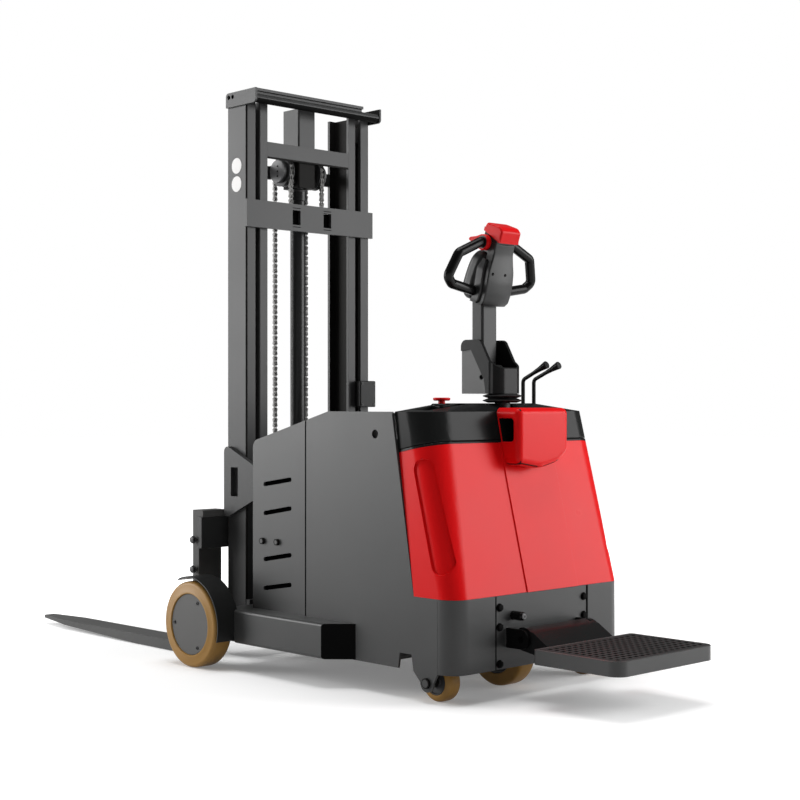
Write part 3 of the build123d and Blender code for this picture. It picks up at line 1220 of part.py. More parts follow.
bolts = []
for ahead, z in ((-222, 440), (-300, 441)):
    hexagon = Plane.YZ.offset(BODY_HALF) * Pos(at(ahead), z) * RegularPolygon(12, 6)
    head_bolt = extrude(hexagon, 9, dir=(1, 0, 0))
    bolts += pair(head_bolt)
caster_bolt = rod_x(CASTER_AHEAD, CASTER_D / 2, CASTER_BOLT_D / 2, ear_in - 10, BODY_HALF + 1)
caster_bolt += rod_x(CASTER_AHEAD, CASTER_D / 2, 16, CASTER_FACE + 0.5, PANEL_IN)
caster_bolt += rod_x(CASTER_AHEAD, CASTER_D / 2, 16, ear_in, CASTER_FACE - CASTER_W - 0.5)
caster_bolt += rod_x(CASTER_AHEAD, CASTER_D / 2, 16, BODY_HALF, BODY_HALF + 8)
bolts += pair(caster_bolt)
for z in (283, 223, 110):
    bolts += pair(rod_y(200, z, 8, HOOD_REAR_LOW - 4, HOOD_REAR_LOW + 2))
save("chassis_bolts", *bolts)
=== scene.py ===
import json
import math

import bmesh
import bpy
from mathutils import Matrix, Vector


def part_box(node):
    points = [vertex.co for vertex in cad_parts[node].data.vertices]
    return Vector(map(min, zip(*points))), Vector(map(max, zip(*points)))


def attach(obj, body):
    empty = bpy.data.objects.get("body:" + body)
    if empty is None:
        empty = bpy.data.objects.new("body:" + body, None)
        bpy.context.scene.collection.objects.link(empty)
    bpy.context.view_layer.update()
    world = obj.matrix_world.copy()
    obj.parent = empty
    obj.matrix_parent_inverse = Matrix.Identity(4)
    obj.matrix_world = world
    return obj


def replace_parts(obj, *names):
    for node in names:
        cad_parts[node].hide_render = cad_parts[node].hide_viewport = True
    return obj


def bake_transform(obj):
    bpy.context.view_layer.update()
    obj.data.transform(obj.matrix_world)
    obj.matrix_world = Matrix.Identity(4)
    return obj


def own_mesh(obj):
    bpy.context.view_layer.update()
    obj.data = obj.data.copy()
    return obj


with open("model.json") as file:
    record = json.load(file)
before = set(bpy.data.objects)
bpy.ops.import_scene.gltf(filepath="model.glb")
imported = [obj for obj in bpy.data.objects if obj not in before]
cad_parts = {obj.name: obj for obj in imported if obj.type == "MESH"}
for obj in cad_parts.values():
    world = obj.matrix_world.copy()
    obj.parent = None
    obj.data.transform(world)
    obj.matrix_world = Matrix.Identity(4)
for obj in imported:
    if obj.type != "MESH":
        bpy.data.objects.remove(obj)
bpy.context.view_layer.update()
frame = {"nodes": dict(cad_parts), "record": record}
AXLE_Y = sum(corner[1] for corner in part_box("front_tyre_left")) / 2
SHEAVE_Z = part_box("rear_chains")[1][2]
SIDES = {"left": -1.0, "right": 1.0}


def at(ahead_mm):
    """Y of a place given in millimetres ahead of the front axle."""
    return AXLE_Y + ahead_mm / 1000.0


TRAY_FRONT = at(-1290.0)

# Finishes

GLOSS_SPREAD = 0.06
SKIN_STRENGTH = 0.35


def coated(name, colour, rough, grain=700.0, depth=0.0002, mottle=0.08, metallic=0.0, coat=0.0, cloud=4.0, spec=0.5):
    """A painted, moulded or ground surface: cloudy colour, uneven gloss and a fine skin."""
    finish = bpy.data.materials.new(name)
    finish.use_nodes = True
    nodes = finish.node_tree.nodes
    links = finish.node_tree.links
    shader = nodes["Principled BSDF"]
    shader.inputs["Metallic"].default_value = metallic
    shader.inputs["Specular IOR Level"].default_value = spec
    shader.inputs["Coat Weight"].default_value = coat
    shader.inputs["Coat Roughness"].default_value = 0.08
    where = nodes.new("ShaderNodeTexCoord")
    clouds = nodes.new("ShaderNodeTexNoise")
    clouds.inputs["Scale"].default_value = cloud
    clouds.inputs["Detail"].default_value = 4.0
    tint = nodes.new("ShaderNodeValToRGB")
    tint.color_ramp.elements[0].position = 0.3
    tint.color_ramp.elements[1].position = 0.7
    tint.color_ramp.elements[0].color = [c * (1 - mottle) for c in colour] + [1.0]
    tint.color_ramp.elements[1].color = [min(1.0, c * (1 + mottle)) for c in colour] + [1.0]
    gloss = nodes.new("ShaderNodeMapRange")
    gloss.inputs["To Min"].default_value = max(0.03, rough - GLOSS_SPREAD)
    gloss.inputs["To Max"].default_value = min(1.0, rough + GLOSS_SPREAD)
    skin = nodes.new("ShaderNodeTexNoise")
    skin.inputs["Scale"].default_value = grain
    skin.inputs["Detail"].default_value = 2.0
    bump = nodes.new("ShaderNodeBump")
    bump.inputs["Strength"].default_value = SKIN_STRENGTH
    bump.inputs["Distance"].default_value = depth
    links.new(where.outputs["Object"], clouds.inputs["Vector"])
    links.new(where.outputs["Object"], skin.inputs["Vector"])
    links.new(clouds.outputs["Fac"], tint.inputs["Fac"])
    links.new(clouds.outputs["Fac"], gloss.inputs["Value"])
    links.new(tint.outputs["Color"], shader.inputs["Base Color"])
    links.new(gloss.outputs["Result"], shader.inputs["Roughness"])
    links.new(skin.outputs["Fac"], bump.inputs["Height"])
    links.new(bump.outputs["Normal"], shader.inputs["Normal"])
    return finish


mast_paint = coated("mast_paint", (0.038, 0.0385, 0.0389), 0.37, spec=0.19)
stem_paint = coated("stem_paint", (0.028, 0.0284, 0.0286), 0.38, spec=0.19)
frame_paint = coated("frame_paint", (0.043, 0.0437, 0.0437), 0.36, spec=0.31)
fork_paint = coated("fork_paint", (0.100, 0.100, 0.099), 0.6, spec=0.10)
cover_paint = coated("cover_paint", (0.088, 0.087, 0.085), 0.46, spec=0.25)
hood_red = coated("hood_red", (0.70, 0.0060, 0.0075), 0.30, 500.0, 0.0001, 0.03, spec=0.105)
switch_red = coated("switch_red", (0.64, 0.0060, 0.0075), 0.30, 500.0, 0.0001, 0.03, spec=0.10)
black_moulding = coated("black_moulding", (0.012, 0.0124, 0.0124), 0.24, 900.0, 0.0001, spec=0.075)
tiller_black = coated("tiller_black", (0.016, 0.0164, 0.0164), 0.30, 900.0, 0.0001, spec=0.23)
mat_rubber = coated("mat_rubber", (0.034, 0.034, 0.034), 0.7, 500.0, 0.0003, spec=0.12)
platform_black = coated("platform_black", (0.050, 0.0505, 0.0505), 0.34, 900.0, 0.0001, spec=0.26)
# Pale zinc: the stop stud's screw, and the sheave covers made lighter than the mast as painted light
zinc_and_painted_light = coated("zinc_and_painted_light", (0.20, 0.20, 0.205), 0.45, 600.0, 0.0001, 0.1, spec=0.3)
bore_black = coated("bore_black", (0.0025, 0.0025, 0.0025), 0.85, spec=0.0)
grip_black = coated("grip_black", (0.005, 0.005, 0.005), 0.22, 900.0, 0.0001, spec=0.11)
blank_sign = coated("blank_sign", (0.78, 0.77, 0.76), 0.4, 900.0, 0.0001, 0.03, spec=0.2)
black_rubber = coated("black_rubber", (0.015, 0.015, 0.015), 0.5, 800.0, 0.0003, spec=0.22)
tan_tyre = coated("tan_tyre", (0.315, 0.170, 0.042), 0.42, 260.0, 0.0003, 0.1, spec=0.25)
ground_steel = coated("ground_steel", (0.42, 0.42, 0.42), 0.32, 900.0, 0.0001, 0.08, metallic=1.0)
chromed = coated("chromed", (0.6, 0.6, 0.61), 0.14, 600.0, 0.00005, 0.03, metallic=1.0)
chain_steel = coated("chain_steel", (0.090, 0.088, 0.085), 0.42, 900.0, 0.0001, 0.2, metallic=0.3)
# Near-black: the rear plate's bolts, and painted shade on the beams' ends, the hinge lugs and under the mast's top
# bar
shade_and_bolt_black = coated("shade_and_bolt_black", (0.004, 0.004, 0.004), 0.6, 800.0, 0.0003, spec=0.03)
dark_bolt = coated("dark_bolt", (0.035, 0.035, 0.036), 0.4, 900.0, 0.0001, 0.1, metallic=0.5)
casting = coated("casting", (0.035, 0.035, 0.036), 0.5, 300.0, 0.0005, spec=0.3)
nylon = coated("nylon", (0.06, 0.06, 0.06), 0.45)
# Near-black steel: dark screws and bolts, and painted shade in the mast's channels, the sheave block and the chains
dark_steel_and_shade = coated("dark_steel_and_shade", (0.010, 0.0095, 0.009), 0.5, 300.0, 0.0003, 0.3, spec=0.05)

FINISH_OF_SLOT = {
    "frame_grey": frame_paint,
    "mast_grey": mast_paint,
    "hub_grey": cover_paint,
    "hood_red": hood_red,
    "red_plastic": switch_red,
    "black_plastic": black_moulding,
    "black_rubber": black_rubber,
    "tyre_tan": tan_tyre,
    "bright_steel": ground_steel,
    "chrome_rod": chromed,
    "chain_steel": chain_steel,
    "bolt_dark": dark_bolt,
    "cast": casting,
    "battery_case": black_moulding,
    "nylon": nylon,
}
# Own finishes of some parts; the chain anchors and the platform's pin are near-black as painted shade, in the tie's
# windows and round the hinge
OWN_FINISH = {
    "tiller_grips": grip_black, "sheaves": casting, "chain_anchors": bore_black, "tiller_head": tiller_black,
    "tiller_base": black_moulding, "mudguards": tiller_black, "platform": platform_black,
    "tiller_stem": stem_paint, "inner_rollers": casting, "carriage_rollers_upper": casting,
    "carriage_rollers_lower": casting, "platform_pin": bore_black, "stop_stud": grip_black,
    "lift_barrel": tiller_black, "chassis_bolts": dark_steel_and_shade, "fork_left": fork_paint, "fork_right": fork_paint,
}
SLOT_OF = {part["node"]: part["material_slot"] for part in frame["record"]["subparts"]}
BODY_OF = {
    node: body for body, nodes in frame["record"]["behaviour"]["bodies"].items() for node in nodes
}


def new_piece(name, bm, finish, body, crease=35.0, weighted=True):
    """Turns a bmesh into a piece that rides on a body."""
    mesh = bpy.data.meshes.new(name)
    bm.to_mesh(mesh)
    bm.free()
    for face in mesh.polygons:
        face.use_smooth = True
    mesh.set_sharp_from_angle(angle=math.radians(crease))
    piece = bpy.data.objects.new(name, mesh)
    bpy.context.scene.collection.objects.link(piece)
    mesh.materials.append(finish)
    if weighted:
        even = piece.modifiers.new("even_shading", "WEIGHTED_NORMAL")
        even.keep_sharp = True
    if body:
        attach(piece, body)
    return piece


# Mesh helpers and small turned shapes

MERGE = 2e-6
CAD_MERGE = 4e-6
FLAT_ANGLE = math.radians(0.4)
SHARP_ANGLE = math.radians(32.0)


def ease(bm, geom, offset, segments, affect="EDGES", clamp=False):
    """Rounds edges, or corners where affect says VERTICES."""
    bmesh.ops.bevel(
        bm, geom=geom, offset=offset, offset_type="OFFSET", affect=affect, segments=segments, profile=0.5,
        material=-1, clamp_overlap=clamp,
    )


def verts_in(geom):
    return [item for item in geom if isinstance(item, bmesh.types.BMVert)]


def cut_through(bm, place, normal):
    """Cuts every face that a plane crosses."""
    bmesh.ops.bisect_plane(
        bm, geom=bm.verts[:] + bm.edges[:] + bm.faces[:], dist=1e-6, plane_co=place, plane_no=normal
    )


def softened(node, edge, further=None):
    """A copy of a solid with its sharp edges eased, as paint and moulding leave them."""
    bm = bmesh.new()
    bm.from_mesh(frame["nodes"][node].data)
    bmesh.ops.remove_doubles(bm, verts=bm.verts, dist=CAD_MERGE)
    bmesh.ops.dissolve_limit(bm, angle_limit=FLAT_ANGLE, verts=bm.verts, edges=bm.edges)
    sharp = [e for e in bm.edges if len(e.link_faces) == 2 and e.calc_face_angle(0.0) > SHARP_ANGLE]
    ease(bm, sharp, edge, 2, clamp=True)
    if further:
        further(bm)
    slot = SLOT_OF[node]
    finish = OWN_FINISH.get(node, FINISH_OF_SLOT[slot])
    piece = new_piece(node + "_shell", bm, finish, BODY_OF[node])
    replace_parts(piece, node)
    return piece


def turned(bm, profile, centre, axis, steps=32, closed=False):
    """Spins a profile of (along, radius) points about an axis through a centre."""
    axis = Vector(axis).normalized()
    centre = Vector(centre)
    side = axis.orthogonal().normalized()
    rim = [bm.verts.new(centre + axis * along + side * radius) for along, radius in profile]
    edges = [bm.edges.new(ends) for ends in zip(rim, rim[1:])]
    if closed:
        edges.append(bm.edges.new((rim[-1], rim[0])))
    bmesh.ops.spin(bm, geom=rim + edges, cent=centre, axis=axis, angle=2 * math.pi, steps=steps, use_merge=True)
    bmesh.ops.remove_doubles(bm, verts=bm.verts, dist=MERGE)


def tidy_normals(bm):
    bmesh.ops.remove_doubles(bm, verts=bm.verts, dist=MERGE)
    bmesh.ops.recalc_face_normals(bm, faces=bm.faces)


def socket_screw(bm, centre, axis, radius, steps=14):
    """Low cap screw with a round socket, sunk a little into what it holds."""
    turned(
        bm,
        [
            (-0.3 * radius, 0.0), (-0.3 * radius, radius), (0.36 * radius, radius), (0.5 * radius, 0.86 * radius),
            (0.5 * radius, 0.5 * radius), (0.08 * radius, 0.46 * radius), (0.08 * radius, 0.0),
        ],
        centre, axis, steps,
    )


def hex_bolt(bm, centre, axis, across):
    """Hexagon head on its washer."""
    axis = Vector(axis).normalized()
    centre = Vector(centre)
    turned(
        bm,
        [(-0.001, 0.0), (-0.001, 0.66 * across), (0.0012, 0.66 * across), (0.0016, 0.63 * across), (0.0016, 0.0)],
        centre, axis, 20,
    )
    facing = axis.to_track_quat("Z", "Y").to_matrix().to_4x4()
    tall = 0.36 * across
    head = bmesh.ops.create_cone(
        bm, cap_ends=True, segments=6, radius1=0.577 * across, radius2=0.577 * across, depth=tall,
        matrix=Matrix.Translation(centre + axis * (0.0014 + tall / 2)) @ facing,
    )["verts"]
    top = {e for v in head for e in v.link_edges if all((p.co - centre).dot(axis) > tall for p in e.verts)}
    ease(bm, list(top), 0.07 * across, 2)


# Solids that are kept, with their edges eased

EASED = {
    "outer_rails": 0.0020, "mast_ties": 0.0016, "tilt_brackets": 0.0016, "lift_barrel": 0.0012,
    "chain_anchors": 0.0010, "limit_box": 0.0008, "inner_rails": 0.0018, "inner_ties": 0.0014,
    "carriage_frame": 0.0015, "carriage_bars": 0.0018, "fork_left": 0.0020, "fork_right": 0.0020,
    "drive_unit": 0.0020, "tiller_base": 0.0022, "tiller_boot": 0.0015, "tiller_stem": 0.0020,
    "tiller_head": 0.0020, "tiller_grips": 0.0010,
    "lift_lever": 0.0010, "tilt_lever": 0.0010, "side_panels": 0.0022,
    "side_beams": 0.0020, "axle_frame": 0.0025, "mudguards": 0.0012, "rear_chassis": 0.0015,
    "rear_cover_plate": 0.0012, "stop_stud": 0.0010, "platform": 0.0022, "hood_cover": 0.0025,
    "hood_top": 0.0025, "battery_cover": 0.0015, "chassis_bolts": 0.0008,
    "sheaves": 0.0008, "tilt_barrels": 0.0010, "tilt_rods": 0.0008, "chassis_base": 0.0015,
}

# Lines cut into three of them

HOOD_UP = Vector((0.0, 0.19333, 1.0)).normalized()
HOOD_SPLIT = Vector((0.0, at(-778.0), 0.73567))
HOOD_MIDDLE = at(-900.0)
SEAM = (0.0070, 0.0104)
SEAM_DEEP = 0.0034
SHADE_TOP = SHEAVE_Z + 0.0375
BOLT_RIM = 0.0030


def cut_hood_seam(bm):
    """The thin joint line that runs round the black top, just above the red cover."""
    for lift in SEAM:
        cut_through(bm, HOOD_SPLIT + HOOD_UP * lift, HOOD_UP)
    bm.normal_update()
    groove = []
    for face in bm.faces:
        place = face.calc_center_median()
        outward = face.normal.x * place.x + face.normal.y * (place.y - HOOD_MIDDLE) > 0
        if outward and SEAM[0] < (place - HOOD_SPLIT).dot(HOOD_UP) < SEAM[1]:
            groove.append(face)
    bmesh.ops.inset_region(bm, faces=groove, thickness=0.0003, depth=-SEAM_DEEP, use_even_offset=True)
    for face in groove:
        face.material_index = 1


def split_sheave_block(bm):
    """A line round the post where its painted shade starts, under the inner crossbar."""
    cut_through(bm, (0.0, 0.0, SHADE_TOP), (0, 0, 1))


def highlight_bolt_faces(bm):
    """The face inside the dark edge of each side bolt's head, in the lighter panel paint as a painted highlight."""
    bm.normal_update()
    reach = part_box("chassis_bolts")[1][0]
    ends = [f for f in bm.faces if abs(f.normal.x) > 0.99 and abs(f.calc_center_median().x) > reach - 0.0015]
    bmesh.ops.inset_individual(bm, faces=ends, thickness=BOLT_RIM, use_even_offset=True)
    for face in ends:
        face.material_index = 1


FURTHER = {"hood_top": cut_hood_seam, "inner_ties": split_sheave_block, "chassis_bolts": highlight_bolt_faces}
shells = {node: softened(node, edge, further=FURTHER.get(node)) for node, edge in EASED.items()}
REMADE = (
    "front_tyre_left", "front_tyre_right", "front_hub_left", "front_hub_right", "caster_left", "caster_right",
    "drive_wheel", "rear_chains", "front_chains", "chain_wraps", "throttle_wings", "belly_button",
    "storage_box", "emergency_stop",
)
for node, shown in frame["nodes"].items():
    if node not in EASED and node not in REMADE:
        shown.data.materials.clear()
        shown.data.materials.append(OWN_FINISH.get(node, FINISH_OF_SLOT[SLOT_OF[node]]))

shells["hood_top"].data.materials.append(bore_black)
# Panel paint for the painted highlight on the side bolts' faces
shells["chassis_bolts"].data.materials.append(frame_paint)

# Second finishes on some faces of a piece, several of them painted shade

BASE_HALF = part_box("tiller_base")[1][0]
ROD_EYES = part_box("tilt_rods")[1][1] - 0.062
PLATE_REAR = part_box("rear_chassis")[0][1] + 0.002
TIE_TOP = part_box("mast_ties")[1]
RAIL_LIP = 0.0105
POST_HALF = 0.062


def repaint(piece, finish, chosen):
    """Gives the chosen faces of a piece a second finish."""
    mesh = piece.data
    mesh.materials.append(finish)
    for face in mesh.polygons:
        if chosen(face):
            face.material_index = len(mesh.materials) - 1


def shade_rail_channels(rails):
    """Paints near-black shade on the faces that look into each channel, where the rollers roll, and on the outside
    corners.
    """
    low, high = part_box(rails)
    rear, front = low[1] + RAIL_LIP, high[1] - RAIL_LIP

    def in_channel_shade(face):
        x, y, _ = face.center
        web = face.normal.x * x < 0 and rear + 0.004 < y < front - 0.004
        corner = abs(x) > high[0] - 0.0065 and 0.03 < abs(face.normal.x) < 0.9994 and abs(face.normal.z) < 0.2
        return web or corner or (abs(face.normal.y) > 0.5 and rear < y < front)

    repaint(shells[rails], dark_steel_and_shade, in_channel_shade)


def in_tie_shade(face):
    """The underside of the bar between the mast's two end plates, and the plates' inner faces."""
    under = face.normal.z < -0.12 and abs(face.center.x) < TIE_TOP[0] - 0.0085
    inward = face.normal.x * math.copysign(1.0, face.center.x) < -0.5
    return face.center.z > TIE_TOP[2] - 0.075 and (under or inward)


# The tiller base's cheeks and the tilt rods' eyes in grey paint; the platform's hinge and the rear plate's lugs
# painted near-black as the shade round the hinge
repaint(
    shells["tiller_base"], frame_paint,
    lambda face: abs(face.normal.x) > 0.9 and 0.9 * BASE_HALF < abs(face.center.x) < BASE_HALF - 0.001,
)
repaint(shells["tilt_rods"], mast_paint, lambda face: face.center.y > ROD_EYES)
repaint(shells["platform"], black_moulding, lambda face: face.center.y > TRAY_FRONT - 0.002)
repaint(shells["rear_cover_plate"], shade_and_bolt_black, lambda face: face.center.y < PLATE_REAR - 0.003)
# Painted shade: near-black on the beams' slanted ends
repaint(shells["side_beams"], shade_and_bolt_black, lambda face: face.normal.y < -0.5 and abs(face.normal.x) > 0.5)
# Painted shade in the rails' channels and on their outside corners
shade_rail_channels("inner_rails")
shade_rail_channels("outer_rails")
repaint(shells["mast_ties"], shade_and_bolt_black, in_tie_shade)
# The sheave block under the inner crossbar is painted near-black below that line, as shade
repaint(
    shells["inner_ties"], dark_steel_and_shade,
    lambda face: abs(face.center.x) < POST_HALF and SHEAVE_Z - 0.2 < face.center.z < SHADE_TOP,
)

# Wheels: moulded tyres on turned hubs


def node_middle(node):
    low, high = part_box(node)
    return (Vector(low) + Vector(high)) / 2


def both_ways(half):
    """A profile from its half: the points, then their mirror images in reverse."""
    return half + [(-along, radius) for along, radius in reversed(half)]


def tyre_profile(half, radius, inner):
    """Tread with rounded shoulders and a raised bead beside the hub, as a closed ring."""
    return both_ways([
        (half - 0.0025, inner), (half, inner + 0.0018), (half, inner + 0.0085), (half - 0.0012, inner + 0.0105),
        (half - 0.0012, radius - 0.013), (half - 0.0024, radius - 0.0078), (half - 0.0052, radius - 0.0034),
        (half - 0.0098, radius - 0.0008), (half - 0.016, radius),
    ])


def turned_piece(name, profile, centre, axis, steps, finish, body, crease=30.0, closed=True):
    """A piece that is one turned shape."""
    bm = bmesh.new()
    turned(bm, profile, centre, axis, steps, closed)
    tidy_normals(bm)
    return new_piece(name, bm, finish, body, crease, False)


HUB_R = 0.105
HUB_FACE = 0.0361
STUB_R = 0.02005
SCREW_CIRCLE = 0.088
HUB_SCREW_R = 0.0062
FRONT_HUB = (
    (0.020, 0.0), (0.020, STUB_R), (-0.036, STUB_R), (-0.036, 0.036), (-0.030, 0.040), (-0.030, 0.090),
    (-0.036, 0.094), (-0.036, 0.1035), (-0.0345, HUB_R), (0.0315, HUB_R), (0.0322, HUB_R - 0.0014),
    (0.0355, HUB_R - 0.0014), (HUB_FACE, HUB_R - 0.0022), (HUB_FACE, 0.0),
)
FRONT_TYRE = tyre_profile(0.040, 0.1475, HUB_R)
CASTER_R = 0.0405
CASTER_TYRE = tyre_profile(0.027, 0.062, CASTER_R)
CASTER_HUB = both_ways([
    (0.0265, 0.01005), (0.0265, 0.019), (0.0225, 0.021), (0.0225, 0.0355), (0.0262, 0.0375), (0.0262, CASTER_R),
])
DRIVE_R = 0.074
DRIVE_TYRE = tyre_profile(0.0375, 0.115, DRIVE_R)
DRIVE_HUB = both_ways([
    (0.0365, 0.01505), (0.0365, 0.034), (0.026, 0.040), (0.026, 0.062), (0.0365, 0.068), (0.0365, DRIVE_R),
])
for side, out in SIDES.items():
    middle, axis, wheel = node_middle("front_tyre_" + side), (out, 0, 0), side + "_front_wheel"
    tyre = turned_piece(
        "front_tyre_" + side + "_moulding", FRONT_TYRE, middle, axis, 96, tan_tyre, wheel, 40.0
    )
    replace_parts(tyre, "front_tyre_" + side)
    hub = turned_piece(
        "front_hub_" + side + "_disc", FRONT_HUB, middle, axis, 96, cover_paint, wheel, closed=False
    )
    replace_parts(hub, "front_hub_" + side)
    bm = bmesh.new()
    for turn in (0.0, 120.0, 240.0):
        around = Vector((0.0, math.cos(math.radians(turn)), math.sin(math.radians(turn)))) * SCREW_CIRCLE
        socket_screw(bm, middle + around + Vector((out * HUB_FACE, 0, 0)), axis, HUB_SCREW_R)
    tidy_normals(bm)
    new_piece("front_hub_" + side + "_screws", bm, dark_bolt, wheel)

    middle, wheel = node_middle("caster_" + side), side + "_caster"
    tyre = turned_piece("caster_" + side + "_tyre", CASTER_TYRE, middle, axis, 64, tan_tyre, wheel, 40.0)
    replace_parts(tyre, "caster_" + side)
    turned_piece("caster_" + side + "_hub", CASTER_HUB, middle, axis, 64, casting, wheel)

middle, axis = node_middle("drive_wheel"), (1, 0, 0)
tyre = turned_piece("drive_wheel_tyre", DRIVE_TYRE, middle, axis, 96, tan_tyre, "drive_roller", 40.0)
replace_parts(tyre, "drive_wheel")
turned_piece("drive_wheel_hub", DRIVE_HUB, middle, axis, 96, casting, "drive_roller")

# Lift chains: plates laced on pins, over the two sheaves, and the covers at the sheaves' ends

SHEAVE_X = 0.074
SHEAVE_PITCH_R = 0.046
CHAIN_TALL = 0.0138
CHAIN_WAIST = 0.4
CHAIN_PITCH = 0.01905
CHAIN_HALF = 0.0077
CHAIN_PIN_R = 0.0034
LINKS_OVER = 8
WIDE_LACING = ((-0.0075, -0.0055), (-0.0012, 0.0012), (0.0055, 0.0075))
NARROW_LACING = ((-0.0051, -0.0029), (0.0029, 0.0051))
ON_EDGE = Matrix(((0, 0, 1, 0), (0, 1, 0, 0), (1, 0, 0, 0), (0, 0, 0, 1)))
COVER_FACE = 0.1026
COVER_SCREW_R = 0.0034


def chain_link(bm, place, pitch, lacing):
    """One pitch of chain along the place's Z: waisted plates side by side, and the pin at its start."""
    for x0, x1 in lacing:
        ring = bmesh.ops.create_circle(bm, cap_ends=True, segments=12, radius=CHAIN_TALL / 2)["verts"]
        for v in ring:
            if abs(v.co.x) > 1e-6:
                v.co.x += math.copysign(pitch / 2, v.co.x)
            else:
                v.co.y *= CHAIN_WAIST
        grown = bmesh.ops.extrude_face_region(bm, geom=list({f for v in ring for f in v.link_faces}))
        risen = verts_in(grown["geom"])
        bmesh.ops.translate(bm, verts=risen, vec=(0, 0, x1 - x0))
        bmesh.ops.transform(bm, matrix=place @ Matrix.Translation((x0, 0, 0)) @ ON_EDGE, verts=ring + risen)
    across = Matrix.Translation((0, 0, -pitch / 2)) @ Matrix.Rotation(math.pi / 2, 4, "Y")
    bmesh.ops.create_cone(
        bm, cap_ends=True, segments=8, radius1=CHAIN_PIN_R, radius2=CHAIN_PIN_R, depth=2 * CHAIN_HALF,
        matrix=place @ across,
    )


def shade_inner_links(bm, count):
    """Every other link lies inside its neighbours, in their shade, and is painted darker."""
    for face in bm.faces:
        if face.index == -1:
            face.material_index = (count + 1) % 2
    bm.faces.index_update()


def chain_piece(name, bm, body, node):
    """Chain in its two finishes, the darker one painted shade, in place of a plain one."""
    tidy_normals(bm)
    chain = new_piece(name, bm, chain_steel, body, 30.0, False)
    chain.data.materials.append(dark_steel_and_shade)
    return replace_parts(chain, node)


def chain_run(name, x, y, z0, z1, node, body=None):
    """Straight run between a lower anchor and the sheave."""
    count = round((z1 - z0) / CHAIN_PITCH)
    pitch = (z1 - z0) / count
    bm = bmesh.new()
    for i in range(count):
        place = Matrix.Translation((x, y, z0 + (i + 0.5) * pitch))
        chain_link(bm, place, pitch, WIDE_LACING if i % 2 else NARROW_LACING)
        shade_inner_links(bm, i)
    return chain_piece(name, bm, body, node)


low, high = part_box("rear_chains")
rear_y, rear_foot = (low[1] + high[1]) / 2, low[2]
low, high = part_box("front_chains")
front_y, front_foot = (low[1] + high[1]) / 2, low[2]
for side, out in SIDES.items():
    x = out * SHEAVE_X
    # The rear runs are fixed in place, and the front runs ride on the inner mast
    run = chain_run("rear_chain_" + side, x, rear_y, rear_foot, SHEAVE_Z, "rear_chains")
    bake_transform(run)
    run = chain_run("front_chain_" + side, x, front_y, front_foot, SHEAVE_Z, "front_chains", "inner_mast")
    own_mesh(run)

    bm = bmesh.new()
    step = math.pi / LINKS_OVER
    centre = Vector((x, (rear_y + front_y) / 2, SHEAVE_Z))
    for i in range(LINKS_OVER):
        turn = Matrix.Rotation((i + 0.5) * step, 4, "X")
        place = Matrix.Translation(centre) @ turn @ Matrix.Translation((0, SHEAVE_PITCH_R, 0))
        chain_link(bm, place, 2 * SHEAVE_PITCH_R * math.tan(step / 2), NARROW_LACING if i % 2 else WIDE_LACING)
        shade_inner_links(bm, i + 1)
    chain_piece("chain_over_sheave_" + side, bm, "inner_mast", "chain_wraps")

    bm = bmesh.new()
    turned(
        bm, [(0.0985, 0.0), (0.0985, 0.0412), (0.1018, 0.0412), (COVER_FACE, 0.0400), (COVER_FACE, 0.0)],
        (0.0, centre.y, SHEAVE_Z), (out, 0, 0), 40,
    )
    tidy_normals(bm)
    # Painted light: the covers are much paler than the mast paint round them
    new_piece("sheave_cover_" + side, bm, zinc_and_painted_light, "inner_mast", 30.0)
    bm = bmesh.new()
    for rise in (-0.018, 0.0, 0.018):
        socket_screw(bm, (out * COVER_FACE, centre.y - 0.004, SHEAVE_Z + rise), (out, 0, 0), COVER_SCREW_R)
    tidy_normals(bm)
    new_piece("sheave_cover_screws_" + side, bm, dark_steel_and_shade, "inner_mast")

# Platform mat: a rubber lattice of rounded holes in the tray

MAT_HOLES = (15, 11)
MAT_HALF = 0.2225
MAT_INSET = 0.0125
MAT_RIM = 0.010
MAT_TOP = 0.1783
MAT_T = 0.004
LATTICE_HALF = 0.0048
HOLE_ROUND = 0.0062
HOLE_DEEP = 0.0038
mat_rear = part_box("platform")[0][1] + MAT_INSET
mat_front = TRAY_FRONT - MAT_INSET
mat_middle = (mat_rear + mat_front) / 2
mat_reach = (mat_front - mat_rear) / 2
bm = bmesh.new()
bmesh.ops.create_grid(bm, x_segments=MAT_HOLES[0], y_segments=MAT_HOLES[1], size=0.5)
bmesh.ops.scale(bm, vec=(2 * (MAT_HALF - MAT_RIM), 2 * (mat_reach - MAT_RIM), 1.0), verts=bm.verts)
bmesh.ops.translate(bm, vec=(0.0, mat_middle, MAT_TOP), verts=bm.verts)
cells = list(bm.faces)
rim = bmesh.ops.extrude_edge_only(bm, edges=[e for e in bm.edges if e.is_boundary])["geom"]
for v in verts_in(rim):
    ahead = v.co.y - mat_middle
    if abs(v.co.x) > MAT_HALF - MAT_RIM - 0.0005:
        v.co.x += math.copysign(MAT_RIM, v.co.x)
    if abs(ahead) > mat_reach - MAT_RIM - 0.0005:
        v.co.y += math.copysign(MAT_RIM, ahead)
bmesh.ops.inset_individual(bm, faces=cells, thickness=LATTICE_HALF, use_even_offset=True)
ease(bm, list({v for f in cells for v in f.verts}), HOLE_ROUND, 3, affect="VERTICES")
holes = [f for f in bm.faces if f.calc_area() > 1.0e-4 and len(f.verts) >= 12]
sunk = bmesh.ops.extrude_discrete_faces(bm, faces=holes)["faces"]
bmesh.ops.translate(bm, vec=(0, 0, -HOLE_DEEP), verts=list({v for f in sunk for v in f.verts}))
skirt = bmesh.ops.extrude_edge_only(bm, edges=[e for e in bm.edges if e.is_boundary])["geom"]
bmesh.ops.translate(bm, vec=(0, 0, -MAT_T), verts=verts_in(skirt))
tidy_normals(bm)
